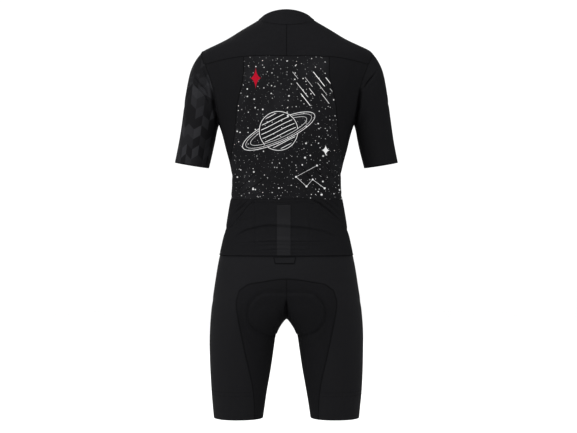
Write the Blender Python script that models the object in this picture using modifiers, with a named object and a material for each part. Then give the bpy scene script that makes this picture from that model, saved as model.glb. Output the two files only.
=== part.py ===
"""A short-sleeved one-piece cycling suit, filled out as on a general figure with nobody in it.

Units are metres and +Z is up. The front faces -Y, the back +Y, and +X is the wearer's left. The origin lies
at the base of the neck, level with the side neck points, where the wearer's shoulders carry the suit.

The suit's surface is a stack of level rings. A place on one half of it is (angle, height): 0 degrees is the
side, 90 the back, -90 the front and 180 the inside of a leg. Seams are lines in these two numbers. A panel is
a grid between its four seams, and a copy of it, moved straight in, gives the cloth its thickness.
"""

import math

import bmesh
import bpy
import numpy as np
from mathutils import Matrix, Vector

# Cloth and seams
CLOTH = 0.0012
SEAM_GAP = 0.0003
ROUNDNESS = 2.2
WELD = 1e-5
# How far apart two points lie, in radians or in metres, when a direction is taken from them
NUDGE = 1e-3
# How finely a seam is traced before it is divided into equal steps, and while a height is looked for along it
TRACE_STEPS = 160
SEARCH_STEPS = 400
# At a panel's sharp corner, the least that its two edges' shared direction counts
LEAST_CORNER = 0.4

# The figure that fills the suit, from the neck down: (height, half-width of the outline, and how far the back
# and the front lie from the side line). Beside the armhole it is the half-width under the sleeve.
HALF_WIDTH, BACK, FRONT = 1, 2, 3
FIGURE = np.array(
    [
        (0.020, 0.0560, 0.048, 0.046),
        (0.000, 0.0700, 0.057, 0.051),
        (-0.014, 0.0940, 0.067, 0.054),
        (-0.028, 0.1166, 0.077, 0.057),
        (-0.042, 0.1380, 0.085, 0.061),
        (-0.056, 0.1692, 0.092, 0.066),
        (-0.074, 0.2005, 0.099, 0.073),
        (-0.095, 0.2060, 0.106, 0.082),
        (-0.123, 0.2085, 0.113, 0.094),
        (-0.150, 0.2040, 0.117, 0.103),
        (-0.190, 0.1880, 0.119, 0.110),
        (-0.222, 0.1700, 0.117, 0.112),
        (-0.2416, 0.1590, 0.115, 0.111),
        (-0.268, 0.1496, 0.111, 0.109),
        (-0.296, 0.1435, 0.105, 0.106),
        (-0.324, 0.1357, 0.099, 0.102),
        (-0.346, 0.1305, 0.094, 0.099),
        (-0.370, 0.1279, 0.089, 0.097),
        (-0.409, 0.1304, 0.086, 0.096),
        (-0.451, 0.1371, 0.088, 0.098),
        (-0.494, 0.1443, 0.097, 0.100),
        (-0.536, 0.1534, 0.109, 0.101),
        (-0.578, 0.1619, 0.120, 0.099),
        (-0.606, 0.1664, 0.124, 0.097),
        (-0.635, 0.1707, 0.122, 0.094),
        (-0.663, 0.1750, 0.115, 0.091),
        (-0.695, 0.1780, 0.105, 0.088),
        (-0.733, 0.1799, 0.097, 0.085),
        (-0.790, 0.1798, 0.088, 0.080),
        (-0.850, 0.1773, 0.078, 0.073),
        (-0.890, 0.1740, 0.071, 0.067),
        (-0.930, 0.1700, 0.064, 0.061),
    ]
)

# The gap between the legs, as its half-width at each height below the crotch.
LEG_GAP = np.array(
    [
        (-0.695, 0.0000),
        (-0.705, 0.0100),
        (-0.719, 0.0200),
        (-0.733, 0.0248),
        (-0.761, 0.0296),
        (-0.790, 0.0335),
        (-0.832, 0.0399),
        (-0.874, 0.0474),
        (-0.930, 0.0560),
    ]
)
HIPS = -0.600
CROTCH = -0.695
LEG_HEM = -0.928
PARTING = 1.5

# Neck: its half-width, and how far the seam drops at the back and the front
NECK_HALF_WIDTH = 0.0700
NECK_DROP_BACK = 0.0146
NECK_DROP_FRONT = 0.0580
COLLAR_TOP_HALF_WIDTH = 0.0560
COLLAR_TOP_BACK = Vector((0.0, 0.043, 0.0244))
COLLAR_TOP_SIDE_HEIGHT = 0.0125
COLLAR_TOP_FRONT = Vector((0.0, -0.054, -0.0360))
COLLAR_ROWS = 3

# Armhole: an oval in angle and height, counted from its top over the back, the underarm and the front
ARMHOLE_TOP = -0.0740
ARMHOLE_BOTTOM = -0.2416
ARMHOLE_MIDDLE = (ARMHOLE_TOP + ARMHOLE_BOTTOM) / 2
ARMHOLE_HALF = (ARMHOLE_TOP - ARMHOLE_BOTTOM) / 2
ARMHOLE_REACH = math.radians(34)
YOKE_MEETS_SIDE = math.radians(50)
SIDE_MEETS_FRONT = math.radians(210)
FRONT_MEETS_YOKE = math.radians(310)

# Seams of the upper part
YOKE_SEAM = ((0.000, -0.0905), (0.050, -0.0905), (0.0974, -0.0910), (0.131, -0.0940), (0.155, -0.0985))
PRINCESS_TOP = 0.0974
PRINCESS_AT_UNDERARM = -0.300
YOKE_FRONT_AT_NECK = math.radians(-35)
YOKE_FRONT_MIDDLE = (0.115, -0.068)
WAIST = -0.4170
JERSEY_HEM = -0.5470
# (height, angle in degrees)
PRINCESS_SEAM = (
    (-0.134, 64),
    (-0.180, 58),
    (-0.2225, 49),
    (-0.294, 31),
    (-0.340, 12),
    (-0.380, 0),
    (WAIST, -8),
)
SIDE_SEAM = ((-0.270, -26), (-0.330, -37), (-0.380, -41), (WAIST, -42))
SIDE_ANGLE = math.radians(-42)

# Seams of the shorts, as (distance from the middle, height) on the back and on the front
ARCH_SEAM = ((0.0, -0.5986), (0.027, -0.6008), (0.057, -0.6061), (0.0914, -0.6133), (0.107, -0.6248))
LEG_SEAM = (
    (0.107, -0.6248),
    (0.1129, -0.6411),
    (0.1150, -0.660),
    (0.1110, -0.684),
    (0.1044, -0.7214),
    (0.0965, -0.762),
    (0.0862, -0.8086),
    (0.0780, -0.850),
    (0.0745, -0.884),
    (0.0742, LEG_HEM),
)
ARCH_TO_HEM = ((0.107, -0.6248), (0.104, -0.590), (0.098, JERSEY_HEM))
SHORTS_FRONT_SEAM = (
    (0.075, JERSEY_HEM),
    (0.082, -0.600),
    (0.092, -0.650),
    (0.100, -0.695),
    (0.106, -0.790),
    (0.110, LEG_HEM),
)
INSEAM_AT_HEM = math.radians(210)

# Sleeve: rings from the armhole to the hem, each an oval between its outer and its inner point. A line of the
# sleeve leaves the armhole along the body by this share at the back, and by the swing more at the top.
LEAVING = 0.5
LEAVING_SWING = 1.4
SLEEVE_COLUMNS = ("outer_x", "outer_z", "inner_x", "inner_z", "half_depth", "forward")
SLEEVE_RINGS = np.array(
    [
        (0.2215, -0.1060, 0.1603, -0.2440, 0.0655, 0.001),
        (0.2362, -0.1640, 0.1628, -0.2530, 0.0610, 0.005),
        (0.2450, -0.2280, 0.1680, -0.2800, 0.0570, 0.011),
        (0.2530, -0.2780, 0.1747, -0.3100, 0.0545, 0.016),
        (0.2632, -0.3300, 0.1830, -0.3430, 0.0525, 0.021),
    ]
)

# Pockets, reflective strip and label on the lower back
POCKET_TOP = -0.4265
POCKET_SLANT_IN = (0.0762, -0.4276)
POCKET_SLANT_OUT = (0.1280, -0.4760)
POCKET_TOP_MIDDLE = (0.0400, POCKET_TOP)
POCKET_SIDE_BEND = -0.5150
POCKET_SIDE_ANGLE = math.radians(6)
STRIP_MIDDLE = 0.0060
STRIP_WIDTH = 0.0316
STRIP_TOP = -0.4310
TRIM = 0.0005
LABEL_MIDDLE = 0.0040
LABEL_TOP_WIDTH = 0.0520
LABEL_FOOT_WIDTH = 0.0440
LABEL_TOP = -0.5495
LABEL_FOOT = -0.5650

# Gripper bands inside the leg hems
GRIPPER_HEIGHT = 0.0660
GRIPPER_THICKNESS = 0.0010

# Zip
ZIP_HALF_OPENING = 0.0085
TEETH_HALF_WIDTH = 0.0026
TEETH_THICKNESS = 0.0018
TEETH_PROUD = 0.0006
ZIP_FOOT = -0.5400
SLIDER_WIDTH = 0.0078
SLIDER_LENGTH = 0.0105
SLIDER_THICKNESS = 0.0022
SLIDER_BELOW_TOP = 0.0100
BRIDGE_WIDTH = 0.0024
BRIDGE_LENGTH = 0.0072
BRIDGE_OPENING = (0.0044, 0.0020)
BRIDGE_THICKNESS = 0.0010
SLIDER_TAPER = 0.78
METAL_EDGE = 0.0002
PULL_BAR = 0.0013
PULL_ARM = 0.0011
PULL_ARM_GAP = 0.0004
PULL_REACH = 0.0070
PULL_TAB_LENGTH = 0.0210
PULL_TAB_WIDTH = 0.0064
PULL_TAPER = 0.85

# Grid sizes, in faces
YOKE_ROWS = 5
BACK_COLUMNS = 6
SIDE_YOKE_COLUMNS = 4
ARMHOLE_YOKE = 6
ARMHOLE_SIDE = 9
ARMHOLE_FRONT = 6
SIDE_ROWS = 8
POCKET_ROWS = 6
ABOVE_POCKET_ROWS = 2
POCKET_FLAT_COLUMNS = 3
POCKET_SLANT_COLUMNS = 3
LOWER_SIDE_COLUMNS = 4
NECK_FRONT_COLUMNS = 3
YOKE_FRONT_COLUMNS = 5
SLEEVE_ROWS = 11
HIP_COLUMNS = 12
ARCH_COLUMNS = 5
HIP_ROWS = 4
SEAT_RISE_ROWS = 5
INSEAM_ROWS = 5
BAND_ROWS = 3
FRONT_RISE_ROWS = 9
SHORTS_FRONT_COLUMNS = 4
TRIM_COLUMNS = 4
LABEL_ROWS = 2
ZIP_ROWS = 23

for old in list(bpy.data.objects):
    bpy.data.objects.remove(old, do_unlink=True)
SUIT = bpy.data.collections.new("roadsuit")
bpy.context.scene.collection.children.link(SUIT)


# ------------------------------------------------------------------ the suit's surface


def hermite(knots, values, slopes, at):
    """The smooth curve that has these values and slopes at its knots, read at one place."""
    k = int(np.clip(np.searchsorted(knots, at) - 1, 0, len(knots) - 2))
    gap = knots[k + 1] - knots[k]
    t = (at - knots[k]) / gap
    return (
        (2 * t**3 - 3 * t**2 + 1) * values[k]
        + (t**3 - 2 * t**2 + t) * gap * slopes[k]
        + (3 * t**2 - 2 * t**3) * values[k + 1]
        + (t**3 - t**2) * gap * slopes[k + 1]
    )


def smooth(table, at, column):
    """A smooth curve through a table's column, read at a height. The heights fall from row to row."""
    depths = -table[:, 0]
    values = table[:, column]
    return hermite(depths, values, np.gradient(values, depths), min(max(-at, depths[0]), depths[-1]))


def ring(height):
    """The middle and half-width of one half's ring: half an oval down to the hips, then one round each leg."""
    outer = smooth(FIGURE, height, HALF_WIDTH)
    if height >= HIPS:
        return 0.0, outer
    if height > CROTCH:
        parted = ((HIPS - height) / (HIPS - CROTCH)) ** PARTING
        return parted * outer / (1 + parted), outer / (1 + parted)
    inner = smooth(LEG_GAP, height, 1)
    return (outer + inner) / 2, (outer - inner) / 2


def power(value, exponent):
    return math.copysign(abs(value) ** exponent, value)


def body(place):
    """The point of the suit's surface at (angle, height), on the wearer's left."""
    angle, height = place
    middle, half_width = ring(height)
    depth = smooth(FIGURE, height, BACK if math.sin(angle) >= 0 else FRONT)
    return Vector(
        (
            middle + half_width * power(math.cos(angle), 2 / ROUNDNESS),
            depth * power(math.sin(angle), 2 / ROUNDNESS),
            height,
        )
    )


def outward(place, on=body):
    """The direction that faces out of a surface at (turn, height)."""
    turn, height = place
    around = on((turn + NUDGE, height)) - on((turn - NUDGE, height))
    down = on((turn, height - NUDGE)) - on((turn, height + NUDGE))
    return down.cross(around).normalized()


def across(distance, height, side=1):
    """The (angle, height) that lies this far from the middle, on the back (1) or the front (-1)."""
    middle, half_width = ring(height)
    share = min(max((distance - middle) / half_width, -1.0), 1.0)
    return side * math.acos(power(share, ROUNDNESS / 2)), height


# ------------------------------------------------------------------ seams


def sample(curve, count, on=body):
    """The curve from 0 to 1 as count steps of equal length on the surface."""
    places = [curve(t) for t in np.linspace(0, 1, TRACE_STEPS + 1)]
    points = [on(place) for place in places]
    lengths = np.concatenate([[0], np.cumsum([(b - a).length for a, b in zip(points, points[1:])])])
    wanted = np.linspace(0, lengths[-1], count + 1)
    angles, heights = (np.interp(wanted, lengths, numbers) for numbers in zip(*places))
    return list(zip(angles, heights))


def through(points):
    """A smooth curve from 0 to 1 through points, each in the middle of its own stretch."""
    points = np.array(points, float)
    spread = np.linalg.norm(np.diff(points, axis=0) / np.ptp(points, axis=0).clip(1e-6), axis=1)
    knots = np.concatenate([[0], np.cumsum(spread)]) / spread.sum()
    slopes = np.gradient(points, knots, axis=0)
    return lambda t: tuple(hermite(knots, points, slopes, t))


def level(height, start, end):
    """A level line at a height, from one angle to another."""
    return lambda t: (start + (end - start) * t, height)


def upright(angle, top, foot):
    """A line that keeps its angle, from one height to another."""
    return lambda t: (angle, top + (foot - top) * t)


def down_the_back(top, foot):
    """The middle line of the back, from one height to another."""
    return upright(math.pi / 2, top, foot)


def neck(turn):
    """The neck seam: turn is 90 degrees at the back, 0 at the side and -90 at the front."""
    drop = NECK_DROP_BACK if turn >= 0 else NECK_DROP_FRONT
    return across(NECK_HALF_WIDTH * math.cos(turn), -drop * math.sin(turn) ** 2, math.copysign(1, turn))


def armhole(turn):
    """The armhole seam: turn is 0 at the top, 90 degrees at the back and 180 under the arm."""
    return ARMHOLE_REACH * math.sin(turn), ARMHOLE_MIDDLE + ARMHOLE_HALF * math.cos(turn)


def turning(curve, start, end):
    return lambda t: curve(start + (end - start) * t)


YOKE_JOINT = armhole(YOKE_MEETS_SIDE)
YOKE_LINE = np.array([(-x, z) for x, z in YOKE_SEAM] + [(-body(YOKE_JOINT).x, YOKE_JOINT[1])])


def yoke_seam(distance):
    return across(distance, smooth(YOKE_LINE, -distance, 1))


def rise(height, side):
    """The middle seam between the halves: level with the surface's own middle line, then in to the crotch."""
    return across(0.0, height, side)


def rise_curve(top, side):
    """The rise from top to the crotch, with its points close together where it turns in under the body."""
    return lambda t: rise(CROTCH + (top - CROTCH) * (1 - t) ** 2, side)


def inseam(side):
    """From the crotch down the inside of the leg to the hem, as an angle past 180 (1) or before -180 (-1)."""
    end = INSEAM_AT_HEM if side > 0 else INSEAM_AT_HEM - 2 * math.pi
    return lambda t: (side * math.pi + (end - side * math.pi) * t, CROTCH + (LEG_HEM - CROTCH) * t)


def seen(points, side):
    return through([across(distance, height, side) for distance, height in points])


def until(curve, height):
    """How far along a falling curve a height is."""
    return next(t for t in np.linspace(0, 1, SEARCH_STEPS + 1) if curve(t)[1] <= height)


def with_band(curve, rows):
    """A line down to the leg hem, whose last rows are level with the gripper band's."""
    band = until(curve, LEG_HEM + GRIPPER_HEIGHT)
    return join(sample(turning(curve, 0, band), rows), sample(turning(curve, band, 1), BAND_ROWS))


def degrees(points, start):
    return through([start] + [(math.radians(angle), height) for height, angle in points])


def join(*lines):
    """Lines that follow on from each other, as one."""
    return [place for k, line in enumerate(lines) for place in (line if k == 0 else line[1:])]


def back_along(line):
    return list(reversed(line))


CENTRE_BACK = math.pi / 2
NECK_AT_ZIP = -math.acos(ZIP_HALF_OPENING / NECK_HALF_WIDTH)
YOKE_COLUMNS = BACK_COLUMNS + SIDE_YOKE_COLUMNS + ARMHOLE_YOKE
HEM_ROWS = ABOVE_POCKET_ROWS + POCKET_ROWS
princess = degrees(PRINCESS_SEAM, yoke_seam(PRINCESS_TOP))
underarm = until(princess, PRINCESS_AT_UNDERARM)
seam = {
    "neck_yoke": sample(turning(neck, CENTRE_BACK, YOKE_FRONT_AT_NECK), YOKE_COLUMNS),
    "neck_front": sample(turning(neck, NECK_AT_ZIP, YOKE_FRONT_AT_NECK), NECK_FRONT_COLUMNS),
    "yoke_centre": sample(down_the_back(-NECK_DROP_BACK, YOKE_SEAM[0][1]), YOKE_ROWS),
    "yoke_back": sample(turning(yoke_seam, 0, PRINCESS_TOP), BACK_COLUMNS),
    "yoke_side": sample(turning(yoke_seam, PRINCESS_TOP, body(YOKE_JOINT).x), SIDE_YOKE_COLUMNS),
    "armhole_yoke": sample(turning(armhole, YOKE_MEETS_SIDE, FRONT_MEETS_YOKE - 2 * math.pi), ARMHOLE_YOKE),
    "armhole_side": sample(turning(armhole, YOKE_MEETS_SIDE, SIDE_MEETS_FRONT), ARMHOLE_SIDE),
    "armhole_front": sample(turning(armhole, FRONT_MEETS_YOKE, SIDE_MEETS_FRONT), ARMHOLE_FRONT),
    "princess_upper": sample(turning(princess, 0, underarm), ARMHOLE_SIDE),
    "princess_lower": sample(turning(princess, underarm, 1), SIDE_ROWS),
    "side": sample(degrees(SIDE_SEAM, armhole(SIDE_MEETS_FRONT)), SIDE_ROWS),
    "side_hem": sample(upright(SIDE_ANGLE, WAIST, JERSEY_HEM), HEM_ROWS),
    "leg": with_band(seen(LEG_SEAM, 1), SEAT_RISE_ROWS + INSEAM_ROWS),
    "arch": sample(seen(ARCH_SEAM, 1), ARCH_COLUMNS),
    "arch_to_hem": sample(seen(ARCH_TO_HEM, 1), HIP_ROWS),
    "shorts_front": with_band(seen(SHORTS_FRONT_SEAM, -1), HIP_ROWS + SEAT_RISE_ROWS + INSEAM_ROWS),
    "seat_rise": sample(rise_curve(ARCH_SEAM[0][1], 1), SEAT_RISE_ROWS),
    "front_rise": sample(rise_curve(JERSEY_HEM, -1), FRONT_RISE_ROWS),
    "inseam_back": with_band(inseam(1), INSEAM_ROWS),
    "inseam_front": with_band(inseam(-1), INSEAM_ROWS),
}
seam["princess"] = join(seam["princess_upper"], seam["princess_lower"])


# ------------------------------------------------------------------ panels


def grid_between(left, right, top, bottom):
    """Places filling the patch between four lines: left and right run down, top and bottom left to right."""
    left, right, top, bottom = (np.array(line) for line in (left, right, top, bottom))
    rows, columns = len(left), len(top)
    v = np.linspace(0, 1, rows)[:, None, None]
    u = np.linspace(0, 1, columns)[None, :, None]
    corners = (1 - v) * ((1 - u) * top[0] + u * top[-1]) + v * ((1 - u) * bottom[0] + u * bottom[-1])
    return (1 - u) * left[:, None] + u * right[:, None] + (1 - v) * top[None] + v * bottom[None] - corners


def add_grid(mesh, patch, on, facing, lifted, out_at):
    """Adds a patch of places as faces. Each point keeps the direction that faces out of the surface there."""
    out = mesh.verts.layers.float_vector["out"]
    rows = []
    for line in patch:
        rows.append([])
        for place in line:
            away = out_at(place) if out_at else outward(place, on) * facing
            vert = mesh.verts.new(on(place) + away * lifted)
            vert[out] = away
            rows[-1].append(vert)
    for upper, lower in zip(rows, rows[1:]):
        for k in range(len(upper) - 1):
            mesh.faces.new((upper[k], lower[k], lower[k + 1], upper[k + 1]))


def mirror_half(mesh):
    """Adds the other half across the middle and joins the two."""
    out = mesh.verts.layers.float_vector["out"]
    half = mesh.verts[:] + mesh.edges[:] + mesh.faces[:]
    bmesh.ops.mirror(mesh, geom=half, matrix=Matrix(), merge_dist=WELD, axis="X")
    for vert in mesh.verts:
        if abs(vert.co.x) < WELD:
            vert[out] = Vector((0, vert[out].y, vert[out].z)).normalized()
        elif vert.co.x < 0:
            vert[out] = Vector((-vert[out].x, vert[out].y, vert[out].z))


def make_right(mesh):
    """Turns a left piece into its right twin."""
    out = mesh.verts.layers.float_vector["out"]
    for vert in mesh.verts:
        vert.co.x = -vert.co.x
        vert[out] = Vector((-vert[out].x, vert[out].y, vert[out].z))


def draw_in(mesh, distance):
    """Moves the panel's edge in by half a seam's gap, along the surface."""
    moves = {}
    for vert in mesh.verts:
        edges = [edge for edge in vert.link_edges if edge.is_boundary]
        if not edges:
            continue
        inward = []
        for edge in edges:
            face = edge.link_faces[0]
            along = (edge.verts[1].co - edge.verts[0].co).normalized()
            turn = face.normal.cross(along)
            inward.append(turn if turn.dot(face.calc_center_median() - vert.co) > 0 else -turn)
        total = sum(inward, Vector())
        moves[vert] = total * (distance * 2 / max(total.length_squared, LEAST_CORNER))
    for vert, move in moves.items():
        vert.co += move


def thicken(mesh, thickness):
    """Gives the open surface its wall, inwards along the suit's own directions, so that the cut edges of two
    panels stay side by side through the whole thickness."""
    out = mesh.verts.layers.float_vector["out"]
    wall = bmesh.ops.extrude_face_region(mesh, geom=mesh.faces[:], use_keep_orig=True)["geom"]
    for vert in wall:
        if isinstance(vert, bmesh.types.BMVert):
            vert.co -= vert[out] * thickness
    bmesh.ops.recalc_face_normals(mesh, faces=mesh.faces)
    if mesh.calc_volume(signed=True) < 0:
        bmesh.ops.reverse_faces(mesh, faces=mesh.faces)


def material(name, colour, roughness, metallic=0.0):
    made = bpy.data.materials.new(name)
    made.use_nodes = True
    shader = made.node_tree.nodes["Principled BSDF"]
    shader.inputs["Base Color"].default_value = (*colour, 1.0)
    shader.inputs["Roughness"].default_value = roughness
    shader.inputs["Metallic"].default_value = metallic
    return made


def add_object(name, mesh, finish):
    data = bpy.data.meshes.new(name)
    mesh.to_mesh(data)
    mesh.free()
    data.materials.append(finish)
    made = bpy.data.objects.new(name, data)
    SUIT.objects.link(made)
    return made


def add_panel(
    name,
    patches,
    finish,
    both_sides=False,
    right=False,
    lifted=0.0,
    thickness=CLOTH,
    on=body,
    facing=1,
    out_at=None,
):
    """One cut piece: its patches, joined, drawn in at the seams and given a thickness."""
    mesh = bmesh.new()
    mesh.verts.layers.float_vector.new("out")
    for patch in patches:
        add_grid(mesh, patch, on, facing, lifted, out_at)
    bmesh.ops.remove_doubles(mesh, verts=mesh.verts, dist=WELD)
    if both_sides:
        mirror_half(mesh)
    if right:
        make_right(mesh)
    bmesh.ops.recalc_face_normals(mesh, faces=mesh.faces)
    draw_in(mesh, SEAM_GAP / 2)
    thicken(mesh, thickness)
    made = add_object(name, mesh, finish)
    made.data.shade_smooth()
    return made


def add_pair(name, patches, finish, **settings):
    add_panel(f"{name}_left", patches, finish, **settings)
    add_panel(f"{name}_right", patches, finish, right=True, **settings)


BLACK_KNIT = material("black knit", (0.016, 0.016, 0.018), 0.62)
SLEEVE_KNIT = material("ribbed sleeve knit", (0.014, 0.014, 0.016), 0.58)
PRINTED_KNIT = material("printed back knit", (0.018, 0.018, 0.020), 0.62)
SHORTS_KNIT = material("shorts knit", (0.017, 0.017, 0.019), 0.55)
ELASTIC = material("gripper elastic", (0.020, 0.020, 0.022), 0.75)
REFLECTIVE = material("reflective film", (0.090, 0.090, 0.094), 0.40)
LABEL_CLOTH = material("label cloth", (0.060, 0.060, 0.062), 0.70)
TAPE = material("zip tape", (0.014, 0.014, 0.015), 0.75)
NYLON = material("nylon zip teeth", (0.020, 0.020, 0.021), 0.40)
SLIDER_METAL = material("black lacquered metal", (0.030, 0.030, 0.032), 0.35, 0.6)


# ------------------------------------------------------------------ upper part

yoke_outer = join(seam["yoke_back"], seam["yoke_side"], seam["armhole_yoke"])
front_yoke_ends = neck(YOKE_FRONT_AT_NECK), armhole(FRONT_MEETS_YOKE - 2 * math.pi)
yoke_front_curve = through([front_yoke_ends[0], across(*YOKE_FRONT_MIDDLE, -1), front_yoke_ends[1]])
yoke_front = sample(yoke_front_curve, YOKE_FRONT_COLUMNS)
yoke = grid_between(seam["yoke_centre"], yoke_front, seam["neck_yoke"], yoke_outer)
add_pair("yoke", [yoke], BLACK_KNIT)

back_rows = ARMHOLE_SIDE + SIDE_ROWS
centre_back = sample(down_the_back(YOKE_SEAM[0][1], WAIST), back_rows)
waist_back = sample(level(WAIST, CENTRE_BACK, seam["princess"][-1][0]), BACK_COLUMNS)
back = grid_between(centre_back, seam["princess"], seam["yoke_back"], waist_back)
add_panel("back_panel", [back], PRINTED_KNIT, both_sides=True)

waist_side = sample(level(WAIST, seam["princess"][-1][0], SIDE_ANGLE), SIDE_YOKE_COLUMNS)
side_front = join(seam["armhole_side"], seam["side"])
side_panel = grid_between(seam["princess"], side_front, seam["yoke_side"], waist_side)
add_pair("side_panel", [side_panel], BLACK_KNIT)

neck_front_height = seam["neck_front"][0][1]
front_rows = ARMHOLE_FRONT + SIDE_ROWS + HEM_ROWS
front_length = JERSEY_HEM - neck_front_height
centre_front = sample(
    lambda t: across(ZIP_HALF_OPENING, neck_front_height + front_length * t, -1), front_rows
)
front_top = join(seam["neck_front"], yoke_front)
front_side = join(seam["armhole_front"], seam["side"], seam["side_hem"])
hem_front = sample(level(JERSEY_HEM, centre_front[-1][0], SIDE_ANGLE), len(front_top) - 1)
add_pair("front", [grid_between(centre_front, front_side, front_top, hem_front)], BLACK_KNIT)


# ------------------------------------------------------------------ lower back, pockets, strip and label

# The lower back is three patches: what the pockets cover, the strip above them and the side. The pocket panel
# is the first of them, moved out.
pocket_columns = POCKET_FLAT_COLUMNS + POCKET_SLANT_COLUMNS
pocket_flat = sample(seen(((0.0, POCKET_TOP), POCKET_TOP_MIDDLE, POCKET_SLANT_IN), 1), POCKET_FLAT_COLUMNS)
pocket_slant = sample(seen((POCKET_SLANT_IN, POCKET_SLANT_OUT), 1), POCKET_SLANT_COLUMNS)
pocket_top = join(pocket_flat, pocket_slant)
pocket_centre = sample(down_the_back(POCKET_TOP, JERSEY_HEM), POCKET_ROWS)
pocket_bend = (POCKET_SIDE_ANGLE, POCKET_SIDE_BEND)
pocket_side = sample(through([pocket_top[-1], pocket_bend, (POCKET_SIDE_ANGLE, JERSEY_HEM)]), POCKET_ROWS)
pocket_hem = sample(level(JERSEY_HEM, CENTRE_BACK, POCKET_SIDE_ANGLE), pocket_columns)
pocket = grid_between(pocket_centre, pocket_side, pocket_top, pocket_hem)

above_centre = sample(down_the_back(WAIST, POCKET_TOP), ABOVE_POCKET_ROWS)
above_side = sample(upright(pocket_top[-1][0], WAIST, pocket_top[-1][1]), ABOVE_POCKET_ROWS)
above_waist = sample(level(WAIST, CENTRE_BACK, above_side[0][0]), pocket_columns)
above = grid_between(above_centre, above_side, above_waist, pocket_top)

beside_waist = sample(level(WAIST, above_side[0][0], SIDE_ANGLE), LOWER_SIDE_COLUMNS)
beside_hem = sample(level(JERSEY_HEM, POCKET_SIDE_ANGLE, SIDE_ANGLE), LOWER_SIDE_COLUMNS)
beside = grid_between(join(above_side, pocket_side), seam["side_hem"], beside_waist, beside_hem)

add_panel("lower_back", [pocket, above, beside], BLACK_KNIT, both_sides=True)
POCKET_LIFT = SEAM_GAP + CLOTH
add_panel("pocket_panel", [pocket], BLACK_KNIT, both_sides=True, lifted=POCKET_LIFT)


def rectangle(edges, rows):
    """Places in rows between two edges, each edge a function from 0 to 1 that gives (distance, height)."""
    left, right = edges
    for t in np.linspace(0, 1, rows + 1):
        start, end = Vector(left(t)), Vector(right(t))
        yield [tuple(start.lerp(end, u)) for u in np.linspace(0, 1, TRIM_COLUMNS + 1)]


def on_back(place):
    """A point of the back from (distance, height), also on the wearer's right."""
    distance, height = place
    point = body(across(abs(distance), height))
    return Vector((math.copysign(point.x, distance), point.y, point.z))


strip_lift = POCKET_LIFT + SEAM_GAP + TRIM
strip_edges = [
    lambda t, side=side: (STRIP_MIDDLE + side * STRIP_WIDTH / 2, STRIP_TOP + (JERSEY_HEM - STRIP_TOP) * t)
    for side in (-1, 1)
]
add_panel(
    "reflective_strip",
    [list(rectangle(strip_edges, POCKET_ROWS))],
    REFLECTIVE,
    thickness=TRIM,
    lifted=strip_lift,
    on=on_back,
    facing=-1,
)

label_edges = [
    lambda t, side=side: (
        LABEL_MIDDLE + side * (LABEL_TOP_WIDTH + (LABEL_FOOT_WIDTH - LABEL_TOP_WIDTH) * t) / 2,
        LABEL_TOP + (LABEL_FOOT - LABEL_TOP) * t,
    )
    for side in (-1, 1)
]
add_panel(
    "waist_label",
    [list(rectangle(label_edges, LABEL_ROWS))],
    LABEL_CLOTH,
    thickness=TRIM,
    lifted=SEAM_GAP + TRIM,
    on=on_back,
    facing=-1,
)


# ------------------------------------------------------------------ shorts

hip_bottom = sample(level(LEG_HEM, seam["shorts_front"][-1][0], seam["leg"][-1][0]), HIP_COLUMNS)
hip_top = sample(level(JERSEY_HEM, seam["shorts_front"][0][0], seam["arch_to_hem"][-1][0]), HIP_COLUMNS)
hip_inner = join(back_along(seam["arch_to_hem"]), seam["leg"])
outer_leg = grid_between(seam["shorts_front"], hip_inner, hip_top, hip_bottom)
rear_centre = sample(down_the_back(JERSEY_HEM, ARCH_SEAM[0][1]), HIP_ROWS)
rear_top = sample(level(JERSEY_HEM, CENTRE_BACK, seam["arch_to_hem"][-1][0]), ARCH_COLUMNS)
rear_waist = grid_between(rear_centre, back_along(seam["arch_to_hem"]), rear_top, seam["arch"])
add_panel("hip_panel", [outer_leg, rear_waist], SHORTS_KNIT, both_sides=True)

seat_middle = join(seam["seat_rise"], seam["inseam_back"])
seat_hem = sample(level(LEG_HEM, seam["inseam_back"][-1][0], seam["leg"][-1][0]), ARCH_COLUMNS)
seat = grid_between(seat_middle, seam["leg"], seam["arch"], seat_hem)
add_pair("seat", [seat], SHORTS_KNIT)

front_middle = join(seam["front_rise"], seam["inseam_front"])
front_line = seam["shorts_front"]
front_hem_line = sample(level(JERSEY_HEM, front_middle[0][0], front_line[0][0]), SHORTS_FRONT_COLUMNS)
leg_hem_front = sample(level(LEG_HEM, front_middle[-1][0], front_line[-1][0]), SHORTS_FRONT_COLUMNS)
shorts_front = grid_between(front_middle, seam["shorts_front"], front_hem_line, leg_hem_front)
add_pair("shorts_front", [shorts_front], SHORTS_KNIT)

# The gripper bands repeat the last rows of the panels round the leg, moved in.
band = [patch[-BAND_ROWS - 1 :] for patch in (outer_leg, seat, shorts_front)]
add_pair("leg_gripper", band, ELASTIC, lifted=-(CLOTH + SEAM_GAP), thickness=GRIPPER_THICKNESS)


# ------------------------------------------------------------------ sleeves


def armhole_turn(place):
    """The turn at which the armhole passes through a place."""
    return math.atan2(place[0] / ARMHOLE_REACH, (place[1] - ARMHOLE_MIDDLE) / ARMHOLE_HALF)


def sleeve_ring(row, turn):
    size = dict(zip(SLEEVE_COLUMNS, row))
    outer = Vector((size["outer_x"], -size["forward"], size["outer_z"]))
    inner = Vector((size["inner_x"], -size["forward"], size["inner_z"]))
    depth = Vector((0, size["half_depth"], 0))
    return (outer + inner) / 2 + (outer - inner) / 2 * math.cos(turn) + depth * math.sin(turn)


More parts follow.
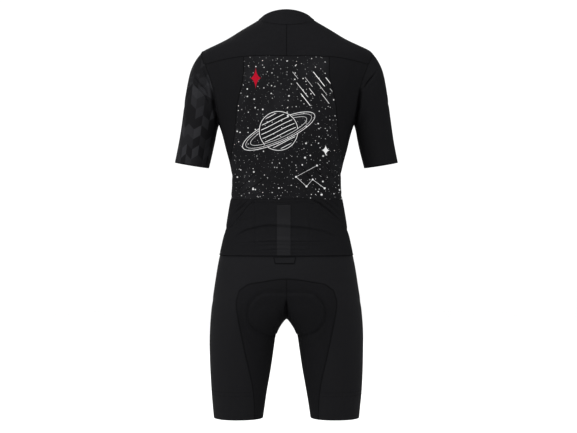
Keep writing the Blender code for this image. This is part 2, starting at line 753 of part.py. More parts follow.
def sleeve_point(place):
    """A point of the sleeve from (turn, minus the share of the way down). Its lines leave the body's surface
    without a kink, except under the arm."""
    turn, share = place
    start = body(armhole(turn))
    points = np.array([start] + [sleeve_ring(row, turn) for row in SLEEVE_RINGS])
    knots = np.concatenate([[0], np.cumsum(np.linalg.norm(np.diff(points, axis=0), axis=1))])
    slopes = np.gradient(points, knots, axis=0)
    along = body(armhole(turn + NUDGE)) - body(armhole(turn - NUDGE))
    leaving = np.array(along.cross(outward(armhole(turn))).normalized())
    leaving *= math.copysign(1, leaving @ (points[1] - points[0]))
    kept = min(max(LEAVING + LEAVING_SWING * math.cos(turn), 0.0), 1.0)
    slopes[0] = leaving * kept + slopes[0] * (1 - kept)
    return Vector(hermite(knots, points, slopes, -share * knots[-1]))


armhole_front = back_along(seam["armhole_front"])
armhole_places = join(seam["armhole_side"], armhole_front, back_along(seam["armhole_yoke"]))
sleeve_turns = [armhole_turn(place) for place in armhole_places]
sleeve = [[(turn, -share) for turn in sleeve_turns] for share in np.linspace(0, 1, SLEEVE_ROWS + 1)]
add_pair("sleeve", [sleeve], SLEEVE_KNIT, on=sleeve_point)


# ------------------------------------------------------------------ collar and zip


def collar_top(turn):
    back_share = max(math.sin(turn), 0.0) ** 2
    front_share = max(-math.sin(turn), 0.0) ** 2
    reach = COLLAR_TOP_BACK.y if turn >= 0 else -COLLAR_TOP_FRONT.y
    height = (
        COLLAR_TOP_SIDE_HEIGHT
        + (COLLAR_TOP_BACK.z - COLLAR_TOP_SIDE_HEIGHT) * back_share
        + (COLLAR_TOP_FRONT.z - COLLAR_TOP_SIDE_HEIGHT) * front_share
    )
    return Vector((COLLAR_TOP_HALF_WIDTH * math.cos(turn), reach * math.sin(turn), height))


TOP_END = -math.acos(ZIP_HALF_OPENING / COLLAR_TOP_HALF_WIDTH)


def collar_point(place):
    """A point of the collar from (turn at the neck seam, share of the height)."""
    turn, up = place
    foot = body(neck(turn))
    share = (turn - CENTRE_BACK) / (NECK_AT_ZIP - CENTRE_BACK)
    top = collar_top(CENTRE_BACK + share * (TOP_END - CENTRE_BACK))
    return foot.lerp(top, up)


def collar_out(place):
    """Faces out of the collar, and at its seam out of the body, so that the seam's two edges stay parallel."""
    turn, up = place
    return outward(place, collar_point) if up > 0 else outward(neck(turn))


def neck_turn(place):
    """The turn at which the neck seam passes through a place."""
    return math.copysign(math.acos(min(body(place).x / NECK_HALF_WIDTH, 1.0)), place[0])


neck_turns = [neck_turn(place) for place in join(seam["neck_yoke"], back_along(seam["neck_front"]))]
collar = [[(turn, up) for turn in neck_turns] for up in np.linspace(1, 0, COLLAR_ROWS + 1)]
add_panel("collar", [collar], BLACK_KNIT, both_sides=True, on=collar_point, out_at=collar_out)

chest_heights = np.linspace(ZIP_FOOT, -NECK_DROP_FRONT, ZIP_ROWS + 1)
zip_line = [Vector((0, body(across(0.0, height, -1)).y, height)) for height in chest_heights]
collar_front = [collar_point((NECK_AT_ZIP, (row + 1) / COLLAR_ROWS)) for row in range(COLLAR_ROWS)]
zip_line += [Vector((0, point.y, point.z)) for point in collar_front]


def zip_point(place):
    """A point of the zip from (distance from the middle, height along it as a fraction of its points)."""
    distance, along = place
    k = int(np.clip(math.floor(along), 0, len(zip_line) - 2))
    point = zip_line[k].lerp(zip_line[k + 1], along - k)
    return Vector((distance, point.y, point.z))


def zip_strip(inner, outer):
    return [[(x, along) for x in (inner, outer)] for along in range(len(zip_line) - 1, -1, -1)]


TEETH_EDGE = TEETH_HALF_WIDTH + SEAM_GAP / 2
add_pair("zip_tape", [zip_strip(TEETH_EDGE, ZIP_HALF_OPENING)], TAPE, on=zip_point)
teeth = zip_strip(-TEETH_EDGE, TEETH_EDGE)
add_panel("zip_teeth", [teeth], NYLON, on=zip_point, lifted=TEETH_PROUD, thickness=TEETH_THICKNESS)


# The slider's own frame: X across the zip, Y up along it, Z out from the chest
slider_up = (zip_line[-1] - zip_line[-3]).normalized()
slider_out = Vector((1, 0, 0)).cross(slider_up)
slider_seat = zip_line[-1] - slider_up * SLIDER_BELOW_TOP + slider_out * (TEETH_PROUD + SEAM_GAP)
SLIDER_FRAME = Matrix(
    (
        (1, slider_up.x, slider_out.x, slider_seat.x),
        (0, slider_up.y, slider_out.y, slider_seat.y),
        (0, slider_up.z, slider_out.z, slider_seat.z),
        (0, 0, 0, 1),
    )
)


def block(mesh, size, middle, taper=1.0):
    """A box, whose lower end along Y may be narrower."""
    made = bmesh.ops.create_cube(mesh, size=1.0)["verts"]
    bmesh.ops.scale(mesh, verts=made, vec=size)
    for vert in made:
        if vert.co.y < 0:
            vert.co.x *= taper
    bmesh.ops.translate(mesh, verts=made, vec=middle)


def joined(name, blocks, finish, bevel):
    """Boxes made one solid, with their long edges rounded."""
    pieces = []
    for size, middle, taper in blocks:
        mesh = bmesh.new()
        block(mesh, size, middle, taper)
        pieces.append(add_object(name, mesh, finish))
    whole = pieces[0]
    for piece in pieces[1:]:
        union = whole.modifiers.new("join", "BOOLEAN")
        union.operation = "UNION"
        union.object = piece
    edges = whole.modifiers.new("edges", "BEVEL")
    edges.width = bevel
    edges.segments = 1
    edges.limit_method = "ANGLE"
    bpy.context.view_layer.update()
    data = bpy.data.meshes.new_from_object(whole.evaluated_get(bpy.context.evaluated_depsgraph_get()))
    for piece in pieces:
        bpy.data.objects.remove(piece, do_unlink=True)
    data.name = name
    made = bpy.data.objects.new(name, data)
    SUIT.objects.link(made)
    return made


leg_height = BRIDGE_OPENING[1] + BRIDGE_THICKNESS
leg_length = (BRIDGE_LENGTH - BRIDGE_OPENING[0]) / 2
slider_blocks = [((SLIDER_WIDTH, SLIDER_LENGTH, SLIDER_THICKNESS), (0, 0, SLIDER_THICKNESS / 2), SLIDER_TAPER)]
for end in (-1, 1):
    leg_middle = (0, end * (BRIDGE_LENGTH - leg_length) / 2, SLIDER_THICKNESS + leg_height / 2 - TRIM / 2)
    slider_blocks.append(((BRIDGE_WIDTH, leg_length, leg_height + TRIM), leg_middle, 1.0))
bridge_middle = (0, 0, SLIDER_THICKNESS + BRIDGE_OPENING[1] + BRIDGE_THICKNESS / 2)
slider_blocks.append(((BRIDGE_WIDTH - TRIM, BRIDGE_LENGTH - TRIM, BRIDGE_THICKNESS), bridge_middle, 1.0))
slider = joined("zip_slider", slider_blocks, SLIDER_METAL, METAL_EDGE)
slider.matrix_world = SLIDER_FRAME

# The pull tab turns about its own bar under the bridge, where its origin is.
pull_axis_height = SLIDER_THICKNESS + BRIDGE_OPENING[1] / 2
arm_middle_x = BRIDGE_WIDTH / 2 + PULL_ARM_GAP + PULL_ARM / 2
pull_blocks = [((2 * arm_middle_x, PULL_BAR, PULL_BAR), (0, 0, 0), 1.0)]
for side in (-1, 1):
    arm = (PULL_ARM, PULL_REACH + PULL_BAR / 2, PULL_BAR)
    pull_blocks.append((arm, (side * arm_middle_x, PULL_BAR / 2 - arm[1] / 2, 0), 1.0))
tab_middle = (0, -PULL_REACH - PULL_TAB_LENGTH / 2 + TRIM, 0)
pull_blocks.append(((PULL_TAB_WIDTH, PULL_TAB_LENGTH, PULL_BAR - TRIM / 2), tab_middle, PULL_TAPER))
pull = joined("zip_pull", pull_blocks, SLIDER_METAL, METAL_EDGE)
pull.matrix_world = SLIDER_FRAME @ Matrix.Translation((0, 0, pull_axis_height))
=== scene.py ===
import math

import bmesh
import bpy
import numpy as np
from mathutils import Matrix, Vector, noise
from mathutils.bvhtree import BVHTree
from mathutils.kdtree import KDTree


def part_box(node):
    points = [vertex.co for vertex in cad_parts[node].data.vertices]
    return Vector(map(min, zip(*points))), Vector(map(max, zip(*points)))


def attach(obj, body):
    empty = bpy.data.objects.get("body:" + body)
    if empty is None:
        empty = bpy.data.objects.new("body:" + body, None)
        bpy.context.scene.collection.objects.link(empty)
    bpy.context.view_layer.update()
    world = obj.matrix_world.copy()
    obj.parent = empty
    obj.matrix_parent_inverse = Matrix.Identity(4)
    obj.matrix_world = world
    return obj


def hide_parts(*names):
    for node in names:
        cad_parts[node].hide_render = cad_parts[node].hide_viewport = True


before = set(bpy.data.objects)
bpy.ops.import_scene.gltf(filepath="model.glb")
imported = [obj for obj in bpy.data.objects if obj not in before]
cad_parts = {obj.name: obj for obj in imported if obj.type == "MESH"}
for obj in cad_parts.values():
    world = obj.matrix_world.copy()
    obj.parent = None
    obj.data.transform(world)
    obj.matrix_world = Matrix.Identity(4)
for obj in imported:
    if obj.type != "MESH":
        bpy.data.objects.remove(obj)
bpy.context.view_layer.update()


# -------------------- the jersey's shape
# The upper half is cut from thin stretch knit: yokes, a back, sides, fronts, sleeves, a collar and a lower back,
# sewn edge to edge. A wearer fills it into one smooth skin, so the outer faces of its pieces are rounded together
# and each piece is cut out of that skin again afterwards.

CLOTH_WALL = 0.0012
SEAM_REACH = 0.0008
JERSEY = (
    "collar", "yoke_left", "yoke_right", "back_panel", "side_panel_left", "side_panel_right",
    "front_left", "front_right", "sleeve_left", "sleeve_right", "lower_back",
)
SAME_POINT = 1e-5
CUT_EDGE = 1.4  # a face with a side shorter than this many walls is part of the cut edge


def opened(data):
    """A mesh opened as a bmesh."""
    mesh = bmesh.new()
    mesh.from_mesh(data)
    return mesh


def outer_face(node, wall=CLOTH_WALL):
    """The outer skin of a cloth node as quads, without its cut edges and its inner skin."""
    mesh = opened(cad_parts[node].data)
    bmesh.ops.remove_doubles(mesh, verts=mesh.verts, dist=SAME_POINT)
    narrow = CUT_EDGE * wall
    cut_edge = [face for face in mesh.faces if min(edge.calc_length() for edge in face.edges) < narrow]
    bmesh.ops.delete(mesh, geom=cut_edge, context="FACES")
    left = set(mesh.faces)
    skins = []
    for first in list(mesh.faces):
        if first not in left:
            continue
        left.remove(first)
        skin = [first]
        for face in skin:
            joined = {other for edge in face.edges for other in edge.link_faces} & left
            left -= joined
            skin += joined
        outward = sum(f.calc_area() * f.normal.dot(f.calc_center_median() * Vector((1, 1, 0))) for f in skin)
        skins.append((outward, skin))
    outer = set(max(skins, key=lambda found: found[0])[1])
    bmesh.ops.delete(mesh, geom=[face for face in mesh.faces if face not in outer], context="FACES")
    bmesh.ops.join_triangles(
        mesh, faces=mesh.faces, angle_face_threshold=math.radians(60), angle_shape_threshold=math.radians(70)
    )
    return mesh


def sew(nodes):
    """The outer faces of cloth nodes joined where their seams meet. A face's material number is its node's place."""
    whole = bmesh.new()
    for number, node in enumerate(nodes):
        skin = outer_face(node)
        copies = {vert: whole.verts.new(vert.co) for vert in skin.verts}
        for face in skin.faces:
            whole.faces.new([copies[vert] for vert in face.verts]).material_index = number
        skin.free()
    edge = [vert for vert in whole.verts if vert.is_boundary]
    bmesh.ops.remove_doubles(whole, verts=edge, dist=SEAM_REACH)
    bmesh.ops.recalc_face_normals(whole, faces=whole.faces)
    return whole


def per_point(mesh, what="co"):
    """Each point's place, or its normal."""
    found = np.empty(len(mesh.vertices) * 3, np.float32)
    mesh.vertices.foreach_get(what, found)
    return found.reshape(-1, 3).astype(float)


def place(mesh, points):
    mesh.vertices.foreach_set("co", points.astype(np.float32).ravel())
    mesh.update()


def added(name, data):
    """An object of this data, in the scene."""
    made = bpy.data.objects.new(name, data)
    bpy.context.scene.collection.objects.link(made)
    return made


def evaluated(holder):
    """The mesh of an object with its modifiers applied."""
    bpy.context.view_layer.update()
    return bpy.data.meshes.new_from_object(holder.evaluated_get(bpy.context.evaluated_depsgraph_get()))


FITTING_ROUNDS = 4


def rounded(mesh, levels):
    """The bmesh as a smooth fine mesh that still passes through the coarse one's points."""
    cage = bpy.data.meshes.new("cage")
    mesh.to_mesh(cage)
    mesh.free()
    for _ in range(max(len(JERSEY), len(cage.materials))):
        cage.materials.append(None)
    holder = added("cage", cage)
    divide = holder.modifiers.new("round", "SUBSURF")
    divide.levels = divide.render_levels = levels
    divide.boundary_smooth = "PRESERVE_CORNERS"
    wanted = per_point(cage)
    held = wanted.copy()
    for _ in range(FITTING_ROUNDS):
        fine = evaluated(holder)
        held += wanted - per_point(fine)[: len(held)]
        place(cage, held)
        bpy.data.meshes.remove(fine)
    fine = evaluated(holder)
    bpy.data.objects.remove(holder)
    return fine


BACK, FRONT, LEFT, RIGHT = (0, 1, 0), (0, -1, 0), (1, 0, 0), (-1, 0, 0)


def curve_through(points, steps):
    """A soft line through a few points, with this many steps from each to the next."""
    points = np.array(points, float)
    ends = np.vstack([2 * points[0] - points[1], points, 2 * points[-1] - points[-2]])
    line = []
    for k in range(len(points) - 1):
        a, b, c, d = ends[k : k + 4]
        for t in np.linspace(0, 1, steps, endpoint=k == len(points) - 2):
            line.append(
                0.5 * (2 * b + (c - a) * t + (2 * a - 5 * b + 4 * c - d) * t**2 + (3 * b - a - 3 * c + d) * t**3)
            )
    return np.array(line)


def from_curve(flat, line):
    """For each point, its distance to the curve through the line's points, how far along that is from 0 to 1, and
    whether the point is on the curve's left."""
    line = curve_through(line, 6)
    near = np.full(len(flat), 1e9)
    along = np.zeros(len(flat))
    on_left = np.zeros(len(flat), bool)
    for k, (a, b) in enumerate(zip(line, line[1:])):
        run = b - a
        t = np.clip((flat - a) @ run / (run @ run), 0, 1)
        aside = flat - a - t[:, None] * run
        distance = np.linalg.norm(aside, axis=1)
        closer = distance < near
        near[closer] = distance[closer]
        along[closer] = ((k + t) / (len(line) - 1))[closer]
        on_left[closer] = (run[0] * aside[:, 1] > run[1] * aside[:, 0])[closer]
    return near, along, on_left


def metres(tenths):
    """Lengths in metres from lengths in tenths of a millimetre."""
    return np.array(tenths) / 10000


def seen_from(facing, points):
    """The points as (across, height) from the side that faces this way."""
    return points[:, [k for k in range(3) if facing[k] == 0]]


def crease(points, normals, facing, width, height, *line):
    """How far each point moves out for one crease, drawn on the side that faces this way: a soft ridge, or a soft
    trough where the height is negative. It fades towards its ends. A pair of widths gives one to each side, the
    left of the line first, so that a sharp and a slow side make a fold's ledge."""
    near, along, on_left = from_curve(seen_from(facing, points), metres(line))
    fade = np.sin(np.pi * along) ** 0.7 * np.clip(normals @ np.array(facing) * 1.6, 0, 1)
    left, right = np.broadcast_to(metres(width), 2)
    return metres(height) * fade * np.exp(-((near / np.where(on_left, left, right)) ** 2))


SHARP = 0.0025
SHARP_REACH = 0.009


def divided(mesh, lines):
    """Divides the faces beside these lines in nine, so that a sharp fold has enough points to bend."""
    points, normals = per_point(mesh), per_point(mesh, "normal")
    chosen = np.zeros(len(points), bool)
    for facing, line in lines:
        near = from_curve(seen_from(facing, points), line)[0]
        chosen |= (near < SHARP_REACH) & (normals @ np.array(facing) > -0.2)
    finer = opened(mesh)
    edges = [edge for edge in finer.edges if all(chosen[vert.index] for vert in edge.verts)]
    bmesh.ops.subdivide_edges(finer, edges=edges, cuts=2, use_grid_fill=True)
    finer.to_mesh(mesh)
    finer.free()
    return mesh


# Each crease: the side it shows on, how wide it is, how far it stands out, and its line as (across, height), all in
# tenths of a millimetre. Those of the back come first, and then like ones on the other sides.
CREASES = [
    (BACK, 18, -44, (-2130, -1160), (-1950, -1380), (-1853, -1500), (-1780, -1640)),
    (BACK, 34, 16, (-2130, -1260), (-1990, -1430), (-1880, -1560), (-1800, -1720)),
    (BACK, 18, -40, (1960, -1120), (1840, -1363), (1763, -1551), (1700, -1800)),
    (BACK, 18, -40, (2200, -1290), (1974, -1539), (1878, -1614), (1780, -1820)),
    (BACK, 18, -30, (2100, -1560), (1900, -1750), (1774, -1970)),
    (BACK, 34, 20, (2040, -1240), (1920, -1450), (1820, -1660)),
    (BACK, 34, 20, (2100, -1480), (1960, -1650), (1830, -1820)),
    (BACK, 80, -14, (1720, -940), (1580, -1400), (1480, -1900)),
    (BACK, 80, -14, (-1660, -920), (-1530, -1400), (-1440, -1900)),
    (BACK, 160, 16, (480, -440), (620, -660), (860, -800)),
    (BACK, 160, 16, (-450, -420), (-600, -640), (-880, -780)),
    (BACK, 70, -13, (1300, -2900), (1180, -3350), (1110, -3820)),
    (BACK, 70, -13, (-1280, -3000), (-1170, -3400), (-1100, -3860)),
    (BACK, 20, -26, (640, -3500), (940, -3800), (1260, -4040)),
    (BACK, 45, -12, (420, -3760), (740, -3970), (1060, -4120)),
    (BACK, 45, -12, (980, -3420), (1180, -3680), (1360, -3900)),
    (BACK, 20, -36, (-540, -3300), (-800, -3620), (-1060, -3910)),
    (BACK, 20, -38, (-240, -3310), (-500, -3620), (-820, -4070)),
    (BACK, 20, -28, (-900, -3380), (-1080, -3620), (-1220, -3870)),
    (BACK, (16, 100), 34, (1240, -5070), (1030, -4915), (850, -4840), (460, -4762), (0, -4780),
     (-480, -4822), (-900, -4915), (-1210, -5050)),
    (BACK, 18, -18, (1240, -5090), (1030, -4935), (850, -4860), (460, -4782), (0, -4800), (-480, -4842),
     (-900, -4935), (-1210, -5070)),
    (BACK, (14, 60), 26, (1240, -5175), (420, -5125), (-200, -5130), (-1160, -5120)),
    (BACK, 30, 16, (1240, -5225), (300, -5185), (-300, -5190), (-900, -5190)),
    (BACK, (16, 50), 18, (740, -5335), (200, -5300), (-600, -5320)),
    (BACK, 34, 10, (700, -5400), (200, -5370), (-600, -5390)),
    (BACK, 20, -30, (700, -4170), (890, -4335), (1060, -4555), (1240, -4760)),
    (BACK, 30, 18, (730, -4200), (930, -4385), (1080, -4600), (1250, -4800)),
    (BACK, 18, -26, (860, -4170), (1050, -4360), (1270, -4560)),
    (BACK, 18, -22, (1000, -4170), (1200, -4400)),
    (BACK, 26, 14, (1040, -4250), (1240, -4460)),
    (BACK, 20, -30, (-540, -4170), (-780, -4290), (-1050, -4500), (-1310, -4740)),
    (BACK, 30, 16, (-520, -4200), (-760, -4330), (-1030, -4550), (-1280, -4790)),
    (BACK, 18, -24, (-780, -4170), (-1030, -4325), (-1290, -4570)),
    (BACK, 18, -20, (-1010, -4180), (-1260, -4370)),
    (BACK, 24, -12, (1160, -4640), (1000, -4660), (840, -4650)),
    (BACK, 30, -9, (716, -4200), (716, -4800), (716, -5480)),
    (BACK, 30, -9, (-528, -4200), (-528, -4800), (-528, -5480)),
    (BACK, 20, -26, (480, -3720), (800, -3920), (1150, -4080)),
    (BACK, 300, 26, (400, -750), (500, -1050), (600, -1400)),
    (BACK, 300, 26, (-400, -750), (-500, -1050), (-600, -1400)),
    (BACK, 180, -22, (0, -1200), (0, -2600), (0, -4200)),
    (FRONT, 70, -18, (1700, -1120), (1500, -1520), (1400, -1960)),
    (FRONT, 70, -18, (-1730, -1100), (-1520, -1580), (-1430, -2050)),
    (FRONT, 50, -20, (2100, -1300), (1940, -1550), (1850, -1850)),
    (FRONT, 50, -20, (-2080, -1280), (-1920, -1500), (-1830, -1780)),
    (FRONT, 50, 14, (2000, -1180), (1860, -1400), (1780, -1650)),
    (FRONT, 50, 14, (-1990, -1200), (-1850, -1430), (-1770, -1680)),
    (FRONT, 70, -12, (1380, -3000), (900, -3300), (400, -3420)),
    (FRONT, 70, -12, (-1350, -3100), (-860, -3360), (-350, -3440)),
    (FRONT, 50, -14, (1250, -3950), (800, -4120), (300, -4180)),
    (FRONT, 50, -14, (-1240, -3900), (-780, -4080), (-280, -4160)),
    (FRONT, 60, 11, (1320, -4300), (850, -4380), (350, -4340)),
    (FRONT, 60, 11, (-1330, -4260), (-880, -4360), (-380, -4350)),
    (FRONT, 50, -13, (1320, -4580), (850, -4650), (350, -4610)),
    (FRONT, 50, -13, (-1330, -4520), (-880, -4630), (-380, -4620)),
    (FRONT, 50, -11, (1300, -5120), (800, -5220), (300, -5160)),
    (FRONT, 50, -11, (-1320, -5060), (-820, -5190), (-320, -5170)),
    (LEFT, 60, -14, (-450, -1500), (-200, -1850), (100, -2050)),
    (LEFT, 60, -12, (500, -1400), (300, -1750), (0, -1950)),
    (LEFT, 50, -15, (600, -4000), (100, -4120), (-500, -4050)),
    (LEFT, 70, -12, (500, -3500), (0, -3620), (-500, -3520)),
    (LEFT, 50, -13, (700, -4700), (200, -4840), (-500, -4800)),
    (RIGHT, 60, -14, (-450, -1460), (-180, -1800), (120, -2000)),
    (RIGHT, 60, -12, (520, -1440), (280, -1800), (20, -1980)),
    (RIGHT, 50, -15, (600, -3960), (80, -4080), (-520, -4000)),
    (RIGHT, 70, -12, (520, -3460), (20, -3580), (-520, -3500)),
    (RIGHT, 50, -13, (700, -4740), (180, -4880), (-520, -4820)),
]
UNEVEN = ((0.0004, 0.055), (0.0011, 0.13))


def creased(mesh, creases, out=0.0):
    """Moves the mesh's points out for its creases and the cloth's slight unevenness, and by so much besides."""
    points, normals = per_point(mesh), per_point(mesh, "normal")
    out = np.zeros(len(points)) + out
    for fold in creases:
        out += crease(points, normals, *fold)
    for height, over in UNEVEN:
        out += height * np.array([noise.noise(Vector(point) / over) for point in points])
    place(mesh, points + normals * out[:, None])


# Under each arm the sleeve and the side fold in deep behind and in front of the seam between them.
ARMPIT = [(0.17, -0.16), (0.166, -0.205), (0.162, -0.232), (0.16, -0.262)]
TUCK_WIDTH, TUCK_DEPTH, TUCK_MIDDLE = 0.0034, 0.02, -0.012


def tucked(mesh):
    """Draws the points near each armpit's line towards the middle of the suit's depth."""
    points = per_point(mesh)
    flat = np.column_stack([np.abs(points[:, 0]), points[:, 2]])
    near, along, _ = from_curve(flat, ARMPIT)
    depth = TUCK_DEPTH * np.sin(np.pi * along) ** 0.7 * np.exp(-((near / TUCK_WIDTH) ** 2))
    off = points[:, 1] - TUCK_MIDDLE
    points[:, 1] -= np.sign(off) * np.minimum(depth, np.abs(off))
    place(mesh, points)


HEM, HEM_LIP, HEM_LIP_HEIGHT = -0.547, 0.0008, 0.0055


def hem_lip(mesh):
    """The jersey's hem stands a little proud over the shorts."""
    share = np.clip(1 - np.abs(per_point(mesh)[:, 2] - HEM) / HEM_LIP_HEIGHT, 0, 1)
    return HEM_LIP * share * share * (3 - 2 * share)


folds = [(facing, metres(line)) for facing, width, _, *line in CREASES if metres(width).min() < SHARP]
folds += [(facing, [(side * x, z) for x, z in ARMPIT]) for facing in (BACK, FRONT) for side in (-1, 1)]
jersey = divided(rounded(sew(JERSEY), 3), folds)
creased(jersey, CREASES, hem_lip(jersey))
tucked(jersey)


# Each piece is cut out of the skin with its wall inwards.
WALL = 0.001
TRUNK_RADIUS = 0.125
AT_BACK, AT_FRONT, AT_LEFT, AT_RIGHT = math.pi / 2, -math.pi / 2, 0.0, math.pi


def unrolled(points, start):
    """Cloth coordinates in metres: how far round the trunk a point lies from this start, and how high."""
    turn = np.arctan2(points[:, 1], points[:, 0]) - start
    turn = (turn + np.pi) % (2 * np.pi) - np.pi
    return np.column_stack([turn * TRUNK_RADIUS, points[:, 2]])


def made_of(name, mesh, paint):
    """The bmesh as an object in one finish."""
    data = bpy.data.meshes.new(name)
    mesh.to_mesh(data)
    mesh.free()
    data.materials.append(paint.material)
    return added(name, data)


def walled(piece, wall, offset):
    """Gives a piece its wall: inwards at an offset of -1, outwards at 1."""
    thick = piece.modifiers.new("wall", "SOLIDIFY")
    thick.thickness = wall
    thick.offset = offset


def cut_out(name, whole, nodes, node, paint, laid=(unrolled, AT_BACK), wall=WALL):
    """One cut piece: a node's faces of the skin sewn from these nodes, or all of it where that is None. It has its
    finish, its wall, and cloth coordinates from a function and what that takes."""
    mesh = opened(whole)
    if nodes:
        others = [face for face in mesh.faces if face.material_index != nodes.index(node)]
        bmesh.ops.delete(mesh, geom=others, context="FACES")
    for face in mesh.faces:
        face.material_index = 0
        face.smooth = True
    piece = made_of(name, mesh, paint)
    layer = piece.data.uv_layers.new(name="cloth")
    corners = np.empty(len(piece.data.loops), np.int32)
    piece.data.loops.foreach_get("vertex_index", corners)
    unroll, start = laid
    layer.data.foreach_set("uv", unroll(per_point(piece.data), start)[corners].astype(np.float32).ravel())
    walled(piece, wall, -1)
    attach(piece, "suit")
    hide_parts(node)


# -------------------- knitted cloth
# All the cloth is black knit in fine wales. The yokes, fronts, pockets and lower back are one matt jersey, with
# stitches about a millimetre wide and a tone that varies a little. The collar and the sides are of like knits.


def adds(operation):
    """A method that adds one Math node."""
    return lambda self, *others: self.math(operation, self, *others)


class Number:
    """A shader socket that carries a number. An expression on it adds its Math nodes."""

    def __init__(self, paint, socket):
        self.paint = paint
        self.socket = socket

    def math(self, operation, *numbers):
        made = self.paint.node("ShaderNodeMath", {"operation": operation}, dict(enumerate(numbers)))
        return Number(self.paint, made.outputs[0])

    __add__ = __radd__ = adds("ADD")
    __mul__ = __rmul__ = adds("MULTIPLY")
    __sub__ = adds("SUBTRACT")
    __truediv__ = adds("DIVIDE")
    __pow__ = adds("POWER")
    __abs__ = adds("ABSOLUTE")
    sine = adds("SINE")
    floor = adds("FLOOR")
    fraction = adds("FRACT")
    most = adds("MAXIMUM")
    least = adds("MINIMUM")

    def __rsub__(self, other):
        return self.math("SUBTRACT", other, self)

    def rises(self, low, high):
        """0 below low, 1 above high and a soft step between. With low above high it falls."""
        first, last = (0.0, 1.0) if low < high else (1.0, 0.0)
        inputs = {0: self, 1: min(low, high), 2: max(low, high), 3: first, 4: last}
        made = self.paint.node("ShaderNodeMapRange", {"interpolation_type": "SMOOTHSTEP"}, inputs)
        return Number(self.paint, made.outputs[0])


def grey(value):
    """A black knit's grey, a little blue."""
    return (value, value, value * 1.1, 1.0)


class Paint:
    """A material in the making, on one Principled shader."""

    def __init__(self, name, tone, roughness, shine=0.012, **fixed):
        self.material = bpy.data.materials.new(name)
        self.material.use_nodes = True
        self.tree = self.material.node_tree
        self.shader = self.tree.nodes["Principled BSDF"]
        self.set(Base_Color=grey(tone), Roughness=roughness, Specular_IOR_Level=shine, **fixed)

    def set(self, **sockets):
        for name, value in sockets.items():
            self.feed(self.shader.inputs[name.replace("_", " ")], value)

    def feed(self, socket, value):
        if isinstance(value, Number):
            value = value.socket
        if isinstance(value, bpy.types.NodeSocket):
            self.tree.links.new(value, socket)
        else:
            socket.default_value = value

    def node(self, kind, settings=None, inputs=None):
        made = self.tree.nodes.new(kind)
        for name, value in (settings or {}).items():
            setattr(made, name, value)
        for name, value in (inputs or {}).items():
            self.feed(made.inputs[name], value)
        return made

    def split(self, vector):
        made = self.node("ShaderNodeSeparateXYZ", {}, {0: vector})
        return [Number(self, socket) for socket in made.outputs]

    def joined(self, x, y, z=0.0):
        return self.node("ShaderNodeCombineXYZ", {}, {0: x, 1: y, 2: z}).outputs[0]

    def position(self):
        return self.node("ShaderNodeTexCoord").outputs["Object"]

    def place(self):
        return self.split(self.position())

    def cloth(self):
        """How far across and how far up the cloth, in metres."""
        return self.split(self.node("ShaderNodeUVMap", {"uv_map": "cloth"}).outputs[0])[:2]

    def noise(self, scale, detail=2.0, vector=None):
        inputs = {"Vector": vector or self.position(), "Scale": scale, "Detail": detail}
        made = self.node("ShaderNodeTexNoise", {}, inputs)
        return Number(self, made.outputs[0])

    def mixed(self, share, first, second):
        made = self.node("ShaderNodeMix", {"data_type": "RGBA"}, {0: share, 6: first, 7: second})
        return made.outputs[2]

    def greys(self, share, low, high):
        """Colours it from one grey to another by this share."""
        self.set(Base_Color=self.mixed(share, grey(low), grey(high)))

    def bump(self, height, distance, strength=0.8):
        made = self.node("ShaderNodeBump", {}, {"Height": height, "Distance": distance, "Strength": strength})
        self.set(Normal=made.outputs[0])


def stitches(across, up, wale, course):
    """The height of plain knit: columns of small V shapes, from 0 between them to 1 on their legs."""
    lean = abs((up / course).fraction() * 2 - 1)
    leg = abs(((across / wale + lean * 0.3) * math.pi).sine())
    return leg * (0.72 + 0.28 * (up * (2 * math.pi / course)).sine())


GRIP_DOTS = 0.0035


def knitted(name, tone, roughness, wale, course, depth, spread=0.14, grip_top=None, shine=0.012):
    """Knit in one tone, a little lighter and darker in patches. Below grip_top the dots of the band fused inside
    press through."""
    paint = Paint(name, tone, roughness, shine)
    across, up = paint.cloth()
    loops = stitches(across, up, wale, course)
    patches = paint.noise(16.0, 3.0)
    light = (1 - spread) + 2 * spread * patches
    height = loops
    if grip_top:
        turn = math.pi / GRIP_DOTS
        dots = ((across * turn).sine() * (up * turn).sine()).rises(0.2, 0.7)
        dots = dots * up.rises(grip_top, grip_top - 0.002) * paint.noise(60.0).rises(0.35, 0.65)
        light = light + 0.22 * dots
        height = loops + 1.5 * dots
    paint.greys(loops * light, tone * 0.62, tone * 1.22)
    paint.set(Roughness=roughness + 0.1 * (patches - 0.5))
    paint.bump(height, depth)
    return paint


jersey_knit = knitted("matt jersey knit", 0.0096, 0.86, 0.0011, 0.0009, 0.00016)
collar_knit = knitted("collar knit", 0.0098, 0.86, 0.0012, 0.0009, 0.00016)
side_knit = knitted("side knit", 0.009, 0.88, 0.0014, 0.0014, 0.00022)

for piece, node, paint, flat, area in (
    ("suit_collar", "collar", collar_knit, (0.400, 0.048), 0.0115),
    ("suit_yoke_left", "yoke_left", jersey_knit, (0.200, 0.215), 0.032),
    ("suit_yoke_right", "yoke_right", jersey_knit, (0.200, 0.215), 0.032),
):
    cut_out(piece, jersey, JERSEY, node, paint)
for side, start in (("left", AT_LEFT), ("right", AT_RIGHT)):
    cut_out(f"suit_side_{side}", jersey, JERSEY, f"side_panel_{side}", side_knit,
            (unrolled, start))
    cut_out(f"suit_front_{side}", jersey, JERSEY, f"front_{side}", jersey_knit,
            (unrolled, AT_FRONT))
cut_out("suit_lower_back", jersey, JERSEY, "lower_back", jersey_knit)


# -------------------- printed back
# The back is the same knit, printed before sewing: a night sky of small white stars with a ringed planet, strokes
# and one small red star. The ink sinks into the knit, so it only changes its colour.

printed = Paint("printed back knit", 0.012, 0.7)
across, up = printed.cloth()
loops = stitches(across, up, 0.0011, 0.0009)
x, _, z = printed.place()


